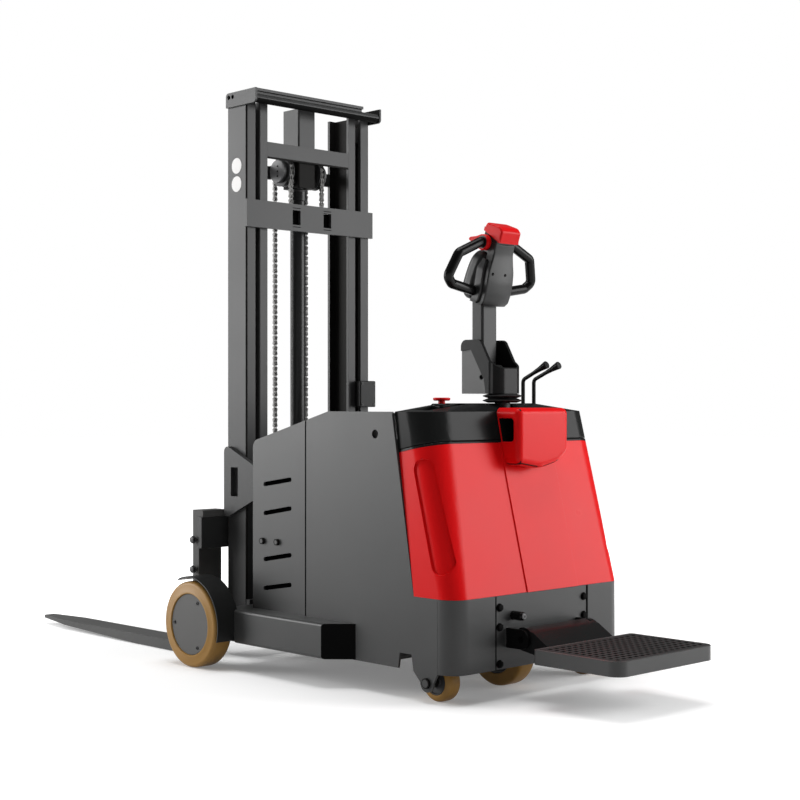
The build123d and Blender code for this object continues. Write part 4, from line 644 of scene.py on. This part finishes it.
new_piece("platform_mat", bm, mat_rubber, "rider_platform", 30.0)

# Storage box: a moulding with well rounded edges, open at its left end

BOX_REAR = at(-1104.0)
BOX_LINE = (
    (-0.088, 0.893), (-0.088, 0.717), (0.022, 0.700), (0.104, 0.717), (0.155, 0.752), (0.155, 0.893),
)
BOX_ROUND = 0.0215
MOUTH_REAR = BOX_REAR + 0.0225
MOUTH_Z = (0.784, 0.862)
MOUTH_ROUND = 0.014
MOUTH_DEEP = 0.205


def hood_back(z):
    """Y a little inside the hood's sloping back, which closes the box."""
    return at(-1006.0 - 0.215 * (893.0 - 1000.0 * z))


def largest(faces):
    return max(faces, key=lambda face: face.calc_area())


bm = bmesh.new()
rear_face = bm.faces.new([bm.verts.new((x, BOX_REAR, z)) for x, z in BOX_LINE])
for v in verts_in(bmesh.ops.extrude_face_region(bm, geom=[rear_face])["geom"]):
    v.co.y = hood_back(v.co.z)
bmesh.ops.recalc_face_normals(bm, faces=bm.faces)
ease(bm, [e for e in bm.edges if any(v.co.y <= BOX_REAR + 0.02 for v in e.verts)], BOX_ROUND, 6, clamp=True)
bm.normal_update()
left_end = largest(f for f in bm.faces if f.normal.x < -0.99)
bmesh.ops.inset_region(bm, faces=[left_end], thickness=0.0045, use_even_offset=True)
for v in left_end.verts:
    v.co.z = MOUTH_Z[v.co.z > 0.81]
    v.co.y = MOUTH_REAR if v.co.y < MOUTH_REAR + 0.012 else hood_back(v.co.z) - 0.0005
ease(bm, [v for v in left_end.verts if v.co.y < MOUTH_REAR + 0.001], MOUTH_ROUND, 5, affect="VERTICES")
left_end = largest(
    f for f in bm.faces
    if f.normal.x < -0.99 and abs(f.calc_center_median().z - sum(MOUTH_Z) / 2) < 0.012
)
bmesh.ops.inset_region(bm, faces=[left_end], thickness=0.0025, depth=-0.003, use_even_offset=True)
pushed = bmesh.ops.extrude_face_region(bm, geom=[left_end])["geom"]
if left_end.is_valid:
    bmesh.ops.delete(bm, geom=[left_end], context="FACES_ONLY")
bmesh.ops.translate(bm, vec=(MOUTH_DEEP, 0, 0), verts=verts_in(pushed))
bmesh.ops.recalc_face_normals(bm, faces=bm.faces)
box = new_piece("storage_box_moulding", bm, hood_red, "chassis", 40.0)


def box_inside_shade(face):
    x, y, z = face.center
    return -0.075 < x < 0.135 and y > BOX_REAR + 0.006 and 0.712 < z < 0.888


# Painted shade: the inside of the box, seen through its open end, is painted black
repaint(box, black_moulding, box_inside_shade)
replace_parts(box, "storage_box")

# Tiller head: spine cover, throttle collars with their thumb tabs, and the reversing cap

HEAD_LEAN = math.radians(20.0)
HEAD = Matrix.Translation((0.0, at(-873.0), 1.234)) @ Matrix.Rotation(HEAD_LEAN, 4, "X")
SPINE = (
    (0.001, 0.0560, -0.0450, 0.005), (0.016, 0.0595, -0.0540, 0.005), (0.045, 0.0605, -0.0555, 0.005),
    (0.080, 0.0610, -0.0510, 0.005), (0.115, 0.0590, -0.0435, 0.004), (0.145, 0.0510, -0.0370, 0.003),
    (0.170, 0.0455, -0.0318, 0.0026), (0.195, 0.0452, -0.0292, 0.0024), (0.209, 0.0452, -0.0290, 0.0024),
)
COVER_WALL = 0.030


def spine_at(rise, across):
    """Half width and depth of the spine cover at a height up the head; across runs from -1 to 1."""
    for low, high in zip(SPINE, SPINE[1:]):
        if rise <= high[0] + 1e-9:
            part = max(0.0, (rise - low[0]) / (high[0] - low[0]))
            half, rear, crown = (a + (b - a) * part for a, b in zip(low[1:], high[1:]))
            return half, rear + crown * across * across
    return SPINE[-1][1], SPINE[-1][2] + SPINE[-1][3] * across * across


def head_cover(name, low, high, wider, sunk):
    """A crowned moulding over the back of the head; wider and sunk set it beside the spine."""
    bm = bmesh.new()
    bmesh.ops.create_grid(bm, x_segments=14, y_segments=26, size=1.0)
    for v in bm.verts:
        across = v.co.x
        rise = low + (high - low) * (v.co.y + 1.0) / 2
        half, rear = spine_at(rise, across)
        v.co = ((half + wider) * across, rear + sunk, rise)
    inner = [v for v in bm.verts if not v.is_boundary]
    for _ in range(3):
        bmesh.ops.smooth_vert(bm, verts=inner, factor=0.5, use_axis_x=False, use_axis_y=True, use_axis_z=False)
    rim = [e for e in bm.edges if e.is_boundary]
    wall = bmesh.ops.extrude_edge_only(bm, edges=rim)["geom"]
    bmesh.ops.translate(bm, vec=(0.0, COVER_WALL, 0.0), verts=verts_in(wall))
    bmesh.ops.holes_fill(bm, edges=[e for e in bm.edges if e.is_boundary])
    bmesh.ops.recalc_face_normals(bm, faces=bm.faces)
    ease(bm, rim, 0.0035, 3, clamp=True)
    bmesh.ops.transform(bm, matrix=HEAD, verts=bm.verts)
    tidy_normals(bm)
    new_piece(name, bm, tiller_black, BODY_OF["tiller_head"], 50.0)


def slice_across(bm, line, x0, x1, rise, ahead=0.0):
    """Stands a flat outline of (y, z) points across the head, from x0 to x1, and returns its corners."""
    made = bm.faces.new([bm.verts.new((x0, ahead + y, rise + z)) for y, z in line])
    near = list(made.verts)
    far = verts_in(bmesh.ops.extrude_face_region(bm, geom=[made])["geom"])
    bmesh.ops.translate(bm, vec=(x1 - x0, 0, 0), verts=far)
    return near + far


head_cover("head_spine_cover", 0.001, 0.204, 0.0, 0.0)
head_cover("head_shoulder_cover", 0.004, 0.148, 0.0085, 0.0185)

SPINE_SCREW_RISE = 0.108
SPINE_HALF_THERE = 0.0594
bm = bmesh.new()
for x in (-0.042, 0.014):
    rear = spine_at(SPINE_SCREW_RISE, x / SPINE_HALF_THERE)[1]
    socket_screw(bm, (x, rear + 0.0008, SPINE_SCREW_RISE), (0, -1, 0.08), 0.0046)
bmesh.ops.transform(bm, matrix=HEAD, verts=bm.verts)
tidy_normals(bm)
new_piece("head_spine_screws", bm, bore_black, BODY_OF["tiller_head"])

THROTTLE_Y, THROTTLE_RISE = 0.017, 0.197
THROTTLE_X = (0.0472, 0.0658)
TAB_INSET = 0.001
TAB_LINE = (
    (0.0215, 0.0060), (0.0180, 0.0135), (0.0100, 0.0205), (0.0120, 0.0240), (0.0320, 0.0120), (0.0600, 0.0010),
    (0.0640, -0.0050), (0.0600, -0.0105), (0.0420, -0.0120), (0.0260, -0.0150), (0.0200, -0.0100),
)
bm = bmesh.new()
for out in SIDES.values():
    turned(
        bm,
        [
            (THROTTLE_X[0], 0.0209), (THROTTLE_X[0], 0.0235), (THROTTLE_X[0] + 0.0025, 0.0256),
            (THROTTLE_X[1] - 0.0030, 0.0256), (THROTTLE_X[1], 0.0230), (THROTTLE_X[1], 0.0209),
        ],
        (0.0, THROTTLE_Y, THROTTLE_RISE), (out, 0, 0), 40, closed=True,
    )
    tab = slice_across(
        bm, TAB_LINE, out * (THROTTLE_X[0] + TAB_INSET), out * (THROTTLE_X[1] - TAB_INSET), THROTTLE_RISE, THROTTLE_Y
    )
    tip = {e for v in tab for e in v.link_edges if all(p.co.y > THROTTLE_Y + 0.011 for p in e.verts)}
    ease(bm, list(tip), 0.0035, 3, clamp=True)
bmesh.ops.transform(bm, matrix=HEAD, verts=bm.verts)
tidy_normals(bm)
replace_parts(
    new_piece("throttle_collars", bm, switch_red, BODY_OF["throttle_wings"]), "throttle_wings"
)

CAP_FOOT = 0.2060 / math.cos(HEAD_LEAN)
CAP_LINE = (
    (0.0420, 0.0235), (0.0350, 0.0410), (-0.0220, 0.0410), (-0.0388, 0.0300), (-0.0392, -0.0090),
    (-0.0305, -0.0090), (-0.0305, 0.0080), (0.0300, 0.0190),
)
CAP_SKIRT = ((-0.0386, -0.0088), (0.0412, 0.0125), (0.0412, 0.0250), (-0.0300, 0.0250))
CAP_SKIRT_X = 0.0446
CAP_ROUND = 0.0062
NECK_WEDGE = ((-0.0270, -0.0040), (0.0350, -0.0040), (0.0350, 0.0112), (-0.0270, 0.0004))
NECK_HALF = 0.0438
low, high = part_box("belly_button")
bm = bmesh.new()
slice_across(bm, CAP_LINE, low[0], high[0], CAP_FOOT)
crown = [
    e for e in bm.edges
    if all(p.co.y < -0.038 or p.co.z > CAP_FOOT + 0.013 for p in e.verts)
    and not all(p.co.z < CAP_FOOT + 0.015 for p in e.verts)
]
ease(bm, crown, CAP_ROUND, 5, clamp=True)
turned(bm, [(-0.045, 0.0), (-0.045, 0.010), (0.022, 0.010), (0.022, 0.0)], (0, 0, CAP_FOOT), (0, 0, 1), 24)
for out in SIDES.values():
    slice_across(bm, CAP_SKIRT, out * CAP_SKIRT_X, out * (high[0] - 0.0003), CAP_FOOT)
bmesh.ops.transform(bm, matrix=HEAD, verts=bm.verts)
tidy_normals(bm)
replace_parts(new_piece("reversing_cap", bm, switch_red, BODY_OF["belly_button"]), "belly_button")

bm = bmesh.new()
slice_across(bm, NECK_WEDGE, -NECK_HALF, NECK_HALF, CAP_FOOT)
bmesh.ops.transform(bm, matrix=HEAD, verts=bm.verts)
tidy_normals(bm)
new_piece("head_neck_wedge", bm, black_moulding, BODY_OF["tiller_head"])

# Painted shade: black discs on the tiller's pin ends, for the dark of its holes

TILLER_PIN = (0.0, at(-915.0), 0.991)
bm = bmesh.new()
for out in SIDES.values():
    turned(
        bm, [(0.0570, 0.0), (0.0570, 0.0079), (0.0592, 0.0079), (0.0598, 0.0070), (0.0598, 0.0)],
        TILLER_PIN, (out, 0, 0), 24,
    )
tidy_normals(bm)
new_piece("tiller_pin_hole_shade", bm, bore_black, BODY_OF["tiller_base"])

# Emergency stop: a collar on the hood and the mushroom above it, in heights above the floor

stop_x, stop_y, _ = node_middle("emergency_stop")
stop_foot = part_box("emergency_stop")[0][2]
turned_piece(
    "stop_collar",
    [
        (0.890, 0.0118), (0.890, 0.033), (0.9025, 0.033), (0.9048, 0.0312), (0.9062, 0.0285), (0.9062, 0.0228),
        (0.898, 0.0222), (0.898, 0.0118),
    ],
    (stop_x, stop_y, 0.0), (0, 0, 1), 40, black_moulding, "chassis",
)
mushroom = turned_piece(
    "stop_mushroom",
    [
        (stop_foot, 0.0), (stop_foot, 0.0108), (0.9150, 0.0108), (0.9150, 0.0225), (0.9162, 0.0256),
        (0.9186, 0.0272), (0.9215, 0.0274), (0.9236, 0.0266), (0.9246, 0.0248), (0.9250, 0.0215), (0.9250, 0.0),
    ],
    (stop_x, stop_y, 0.0), (0, 0, 1), 48, switch_red, BODY_OF["emergency_stop"], 40.0, closed=False,
)
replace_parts(mushroom, "emergency_stop")

# Bolts and screws: fork shanks, limit box, stop stud and the mast's end plates

FORK_FACE = 0.391
FORK_BOLT_Y = at(177.0)
FORK_BOLT_Z = (0.418, 0.312)
FORK_BOLT = 0.022
BOSS_R = 0.0085
BOSS_TALL = 0.011
for side, out in SIDES.items():
    bm = bmesh.new()
    for z in FORK_BOLT_Z:
        turned(
            bm, [(0.0, 0.0), (0.0, BOSS_R), (BOSS_TALL, BOSS_R), (BOSS_TALL, 0.0)],
            (out * (FORK_FACE - 0.0005), FORK_BOLT_Y, z), (out, 0, 0), 20,
        )
        hex_bolt(bm, (out * (FORK_FACE + BOSS_TALL - 0.0005), FORK_BOLT_Y, z), (out, 0, 0), FORK_BOLT)
    tidy_normals(bm)
    new_piece("fork_bolts_" + side, bm, dark_bolt, side + "_fork", 30.0, False)

LIMIT_INSET = 0.010
low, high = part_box("limit_box")
bm = bmesh.new()
for x in (low[0] + LIMIT_INSET, high[0] - LIMIT_INSET):
    for z in (low[2] + LIMIT_INSET, high[2] - LIMIT_INSET):
        socket_screw(bm, (x, low[1], z), (0, -1, 0), 0.0042)
tidy_normals(bm)
new_piece("limit_box_screws", bm, dark_bolt, "mast")

stud_x, _, stud_z = node_middle("stop_stud")
bm = bmesh.new()
socket_screw(bm, (stud_x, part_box("stop_stud")[0][1], stud_z), (0, -1, 0), 0.0085, 20)
tidy_normals(bm)
new_piece("stop_stud_screw", bm, zinc_and_painted_light, "chassis")

END_SCREWS_BACK = (0.018, 0.040)
END_SCREW_DROP = 0.016
END_SCREW_SUNK = 0.0035
END_SCREW_R = 0.0084
rail_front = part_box("outer_rails")[1][1]
bm = bmesh.new()
for out in SIDES.values():
    for back in END_SCREWS_BACK:
        head = (out * (TIE_TOP[0] - END_SCREW_SUNK), rail_front - back, TIE_TOP[2] - END_SCREW_DROP)
        socket_screw(bm, head, (out, 0, 0), END_SCREW_R)
tidy_normals(bm)
new_piece("end_plate_screws", bm, bore_black, "mast")

# Gland nut where the lift rod enters its barrel

barrel_x, barrel_y, _ = node_middle("lift_barrel")
turned_piece(
    "lift_gland",
    [(-0.001, 0.0229), (-0.001, 0.0312), (0.0062, 0.0312), (0.0078, 0.0296), (0.0090, 0.0250), (0.0090, 0.0229)],
    (barrel_x, barrel_y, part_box("lift_barrel")[1][2]), (0, 0, 1), 40, casting, "mast",
)

# Painted shade: a dark sheet behind the vent slots, standing in for the shade inside

PANEL_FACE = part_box("side_panels")[1][0]
PANEL_T = 0.008
VENT_MIDDLE = (-300.0, 0.467)
VENT_SPAN = (170.0, 0.42)
SHADE_SHEET_GAP = 0.003
SHADE_SHEET_BOW = 0.004
SHADE_SHEET_T = 0.0015
bm = bmesh.new()
for out in SIDES.values():
    for v in bmesh.ops.create_grid(bm, x_segments=6, y_segments=10, size=0.5)["verts"]:
        deep = SHADE_SHEET_GAP + SHADE_SHEET_BOW * (1.0 - (2.0 * v.co.x) ** 2)
        v.co = (
            out * (PANEL_FACE - PANEL_T - deep),
            at(VENT_MIDDLE[0] + VENT_SPAN[0] * v.co.x),
            VENT_MIDDLE[1] + VENT_SPAN[1] * v.co.y,
        )
tidy_normals(bm)
bmesh.ops.solidify(bm, geom=list(bm.faces), thickness=SHADE_SHEET_T)
new_piece("vent_shade_sheet", bm, bore_black, "chassis")

# Joint strips between the side panels

STRIP_EASE = 0.0002
JOINT_Y = (-449.0, -443.0)
JOINT_Z = (0.0945, 0.8505)
JOINT_DEEP = 0.0059
STRIP_PROUD = 0.0003


def strip(bm, low, high):
    """A narrow strip with eased edges, between two corners."""
    bar = bmesh.ops.create_cube(bm, size=1.0)["verts"]
    for v in bar:
        v.co = [(a + b) / 2 + (b - a) * c for a, b, c in zip(low, high, v.co)]
    ease(bm, list({e for v in bar for e in v.link_edges}), STRIP_EASE, 2)


bm = bmesh.new()
for out in SIDES.values():
    near, far = sorted((out * (PANEL_FACE - JOINT_DEEP), out * (PANEL_FACE + STRIP_PROUD)))
    strip(bm, (near, at(JOINT_Y[0]), JOINT_Z[0]), (far, at(JOINT_Y[1]), JOINT_Z[1]))
tidy_normals(bm)
new_piece("panel_joint_strips", bm, bore_black, "chassis")

# The rear cover plate's edges and its bolts

COVER_EDGE = 0.220
COVER_EDGE_WIDE = 0.0055
COVER_BOLT_X = 0.200
COVER_BOLT_Z = (0.283, 0.223, 0.110)
COVER_BOLT = 0.0195
low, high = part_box("rear_chassis")
bm = bmesh.new()
for out in SIDES.values():
    near, far = sorted((out * (COVER_EDGE - COVER_EDGE_WIDE), out * COVER_EDGE))
    strip(bm, (near, PLATE_REAR - 0.0012, low[2] + 0.001), (far, PLATE_REAR + 0.001, high[2] - 0.001))
tidy_normals(bm)
new_piece("rear_plate_edges", bm, bore_black, "chassis")
bm = bmesh.new()
for out in SIDES.values():
    for z in COVER_BOLT_Z:
        hex_bolt(bm, (out * COVER_BOLT_X, PLATE_REAR, z), (0, -1, 0), COVER_BOLT)
tidy_normals(bm)
new_piece("rear_plate_bolts", bm, shade_and_bolt_black, "chassis", 30.0, False)

# Slits above and below the windows of the mast's middle tie

TIE_Z = SHEAVE_Z - 0.175
TIE_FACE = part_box("outer_rails")[0][1] - 0.014
SLIT_HALF = 0.0185
SLIT_TALL = 0.0025
SLIT_RISES = (-0.0355, 0.0330)
bm = bmesh.new()
for out in SIDES.values():
    x = out * SHEAVE_X
    for rise in SLIT_RISES:
        low = (x - SLIT_HALF, TIE_FACE - STRIP_PROUD, TIE_Z + rise)
        high = (x + SLIT_HALF, TIE_FACE + 0.002, TIE_Z + rise + SLIT_TALL)
        strip(bm, low, high)
tidy_normals(bm)
new_piece("tie_window_slits", bm, bore_black, "mast")

# Two blank discs on the mast's left rail

DISC_R = 0.028
DISC_Y = at(64.8)
DISC_Z = (1.756, 1.691)
rail_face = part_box("outer_rails")[0][0]
bm = bmesh.new()
for z in DISC_Z:
    turned(
        bm, [(-0.0004, 0.0), (-0.0004, DISC_R), (0.0004, DISC_R), (0.0007, DISC_R - 0.0003), (0.0007, 0.0)],
        (rail_face, DISC_Y, z), (-1, 0, 0), 48,
    )
tidy_normals(bm)
new_piece("blank_discs", bm, blank_sign, "mast")

# Stage: a white floor that fades into the backdrop, and a white world that lights the part only a little

FLOOR_HALF = 30.0
FLOOR_BOUNCE = 0.70
FLOOR_SEEN = 0.86
FLOOR_LIFT = (0.18, 0.95)
FLOOR_FADE = (0.8, 2.6)
WORLD_LIGHT = 0.10
WORLD_SEEN = 1.0
WHITE = (1.0, 1.0, 1.0, 1.0)
LAMP_SIZE = 4.0
LAMPS = {
    "left": ((-4.1, 5.1, 2.4), (0.0, -0.3, 0.9), 400.0),
    "right": ((4.3, -5.1, 2.4), (0.0, -0.4, 0.9), 385.0),
    "top": ((-0.4, -0.4, 6.0), (0.0, -0.3, 0.0), 240.0),
}


def larger(tree, first, second):
    """The larger of two shader values."""
    node = tree.nodes.new("ShaderNodeMath")
    node.operation = "MAXIMUM"
    tree.links.new(first, node.inputs[0])
    tree.links.new(second, node.inputs[1])
    return node.outputs[0]


def mapped(tree, value, low=0.0, high=1.0):
    """A shader node that maps a value from between 0 and 1 to between low and high."""
    node = tree.nodes.new("ShaderNodeMapRange")
    node.inputs["To Min"].default_value = low
    node.inputs["To Max"].default_value = high
    tree.links.new(value, node.inputs["Value"])
    return node


bm = bmesh.new()
bmesh.ops.create_grid(bm, x_segments=1, y_segments=1, size=FLOOR_HALF)
floor_mesh = bpy.data.meshes.new("floor")
bm.to_mesh(floor_mesh)
bm.free()
floor = bpy.data.objects.new("floor", floor_mesh)
bpy.context.scene.collection.objects.link(floor)
floor_white = bpy.data.materials.new("floor_white")
floor_white.use_nodes = True
floor_mesh.materials.append(floor_white)

tree = floor_white.node_tree
shader = tree.nodes["Principled BSDF"]
shader.inputs["Roughness"].default_value = 0.9
shader.inputs["Specular IOR Level"].default_value = 0.0
shader.inputs["Emission Color"].default_value = WHITE
rays = tree.nodes.new("ShaderNodeLightPath")
pale = mapped(tree, rays.outputs["Is Camera Ray"], FLOOR_BOUNCE, FLOOR_SEEN)
tree.links.new(pale.outputs["Result"], shader.inputs["Base Color"])
place = tree.nodes.new("ShaderNodeTexCoord")
reach = tree.nodes.new("ShaderNodeVectorMath")
reach.operation = "LENGTH"
tree.links.new(place.outputs["Object"], reach.inputs[0])
fade = mapped(tree, reach.outputs["Value"], *FLOOR_LIFT)
fade.interpolation_type = "SMOOTHSTEP"
fade.inputs["From Min"].default_value, fade.inputs["From Max"].default_value = FLOOR_FADE
seen = larger(tree, rays.outputs["Is Camera Ray"], rays.outputs["Is Glossy Ray"])
glow = mapped(tree, larger(tree, seen, rays.outputs["Is Transmission Ray"]))
tree.links.new(fade.outputs["Result"], glow.inputs["To Max"])
tree.links.new(glow.outputs["Result"], shader.inputs["Emission Strength"])

world = bpy.data.worlds.new("studio")
bpy.context.scene.world = world
world.use_nodes = True
tree = world.node_tree
sky = tree.nodes["Background"]
sky.inputs["Color"].default_value = WHITE
rays = tree.nodes.new("ShaderNodeLightPath")
seen = larger(tree, rays.outputs["Is Camera Ray"], rays.outputs["Is Transmission Ray"])
level = mapped(tree, seen, WORLD_LIGHT, WORLD_SEEN)
tree.links.new(level.outputs["Result"], sky.inputs["Strength"])

for name, (stand, target, watts) in LAMPS.items():
    lamp = bpy.data.lights.new(name, "AREA")
    lamp.shape = "SQUARE"
    lamp.size = LAMP_SIZE
    lamp.energy = watts
    holder = bpy.data.objects.new(name, lamp)
    holder.location = stand
    holder.rotation_euler = (Vector(target) - Vector(stand)).to_track_quat("-Z", "Y").to_euler()
    bpy.context.scene.collection.objects.link(holder)

# Camera: level, at the photograph's angle

FOCAL_PX = 1520.83
FRAME_PX = 800.0
SHIFT_PX = 2.33
SENSOR = 36.0
CAMERA_AT = (-3.62735, at(-4276.5), 0.910)
CAMERA_TURN = -43.65
camera_data = bpy.data.cameras.new("camera")
camera_data.sensor_width = SENSOR
camera_data.lens = SENSOR * FOCAL_PX / FRAME_PX
camera_data.shift_y = SHIFT_PX / FRAME_PX
camera_data.clip_end = 100.0
camera = bpy.data.objects.new("camera", camera_data)
camera.location = CAMERA_AT
camera.rotation_euler = (math.radians(90.0), 0.0, math.radians(CAMERA_TURN))
bpy.context.scene.collection.objects.link(camera)
bpy.context.scene.camera = camera
bpy.context.scene.view_settings.view_transform = "Standard"
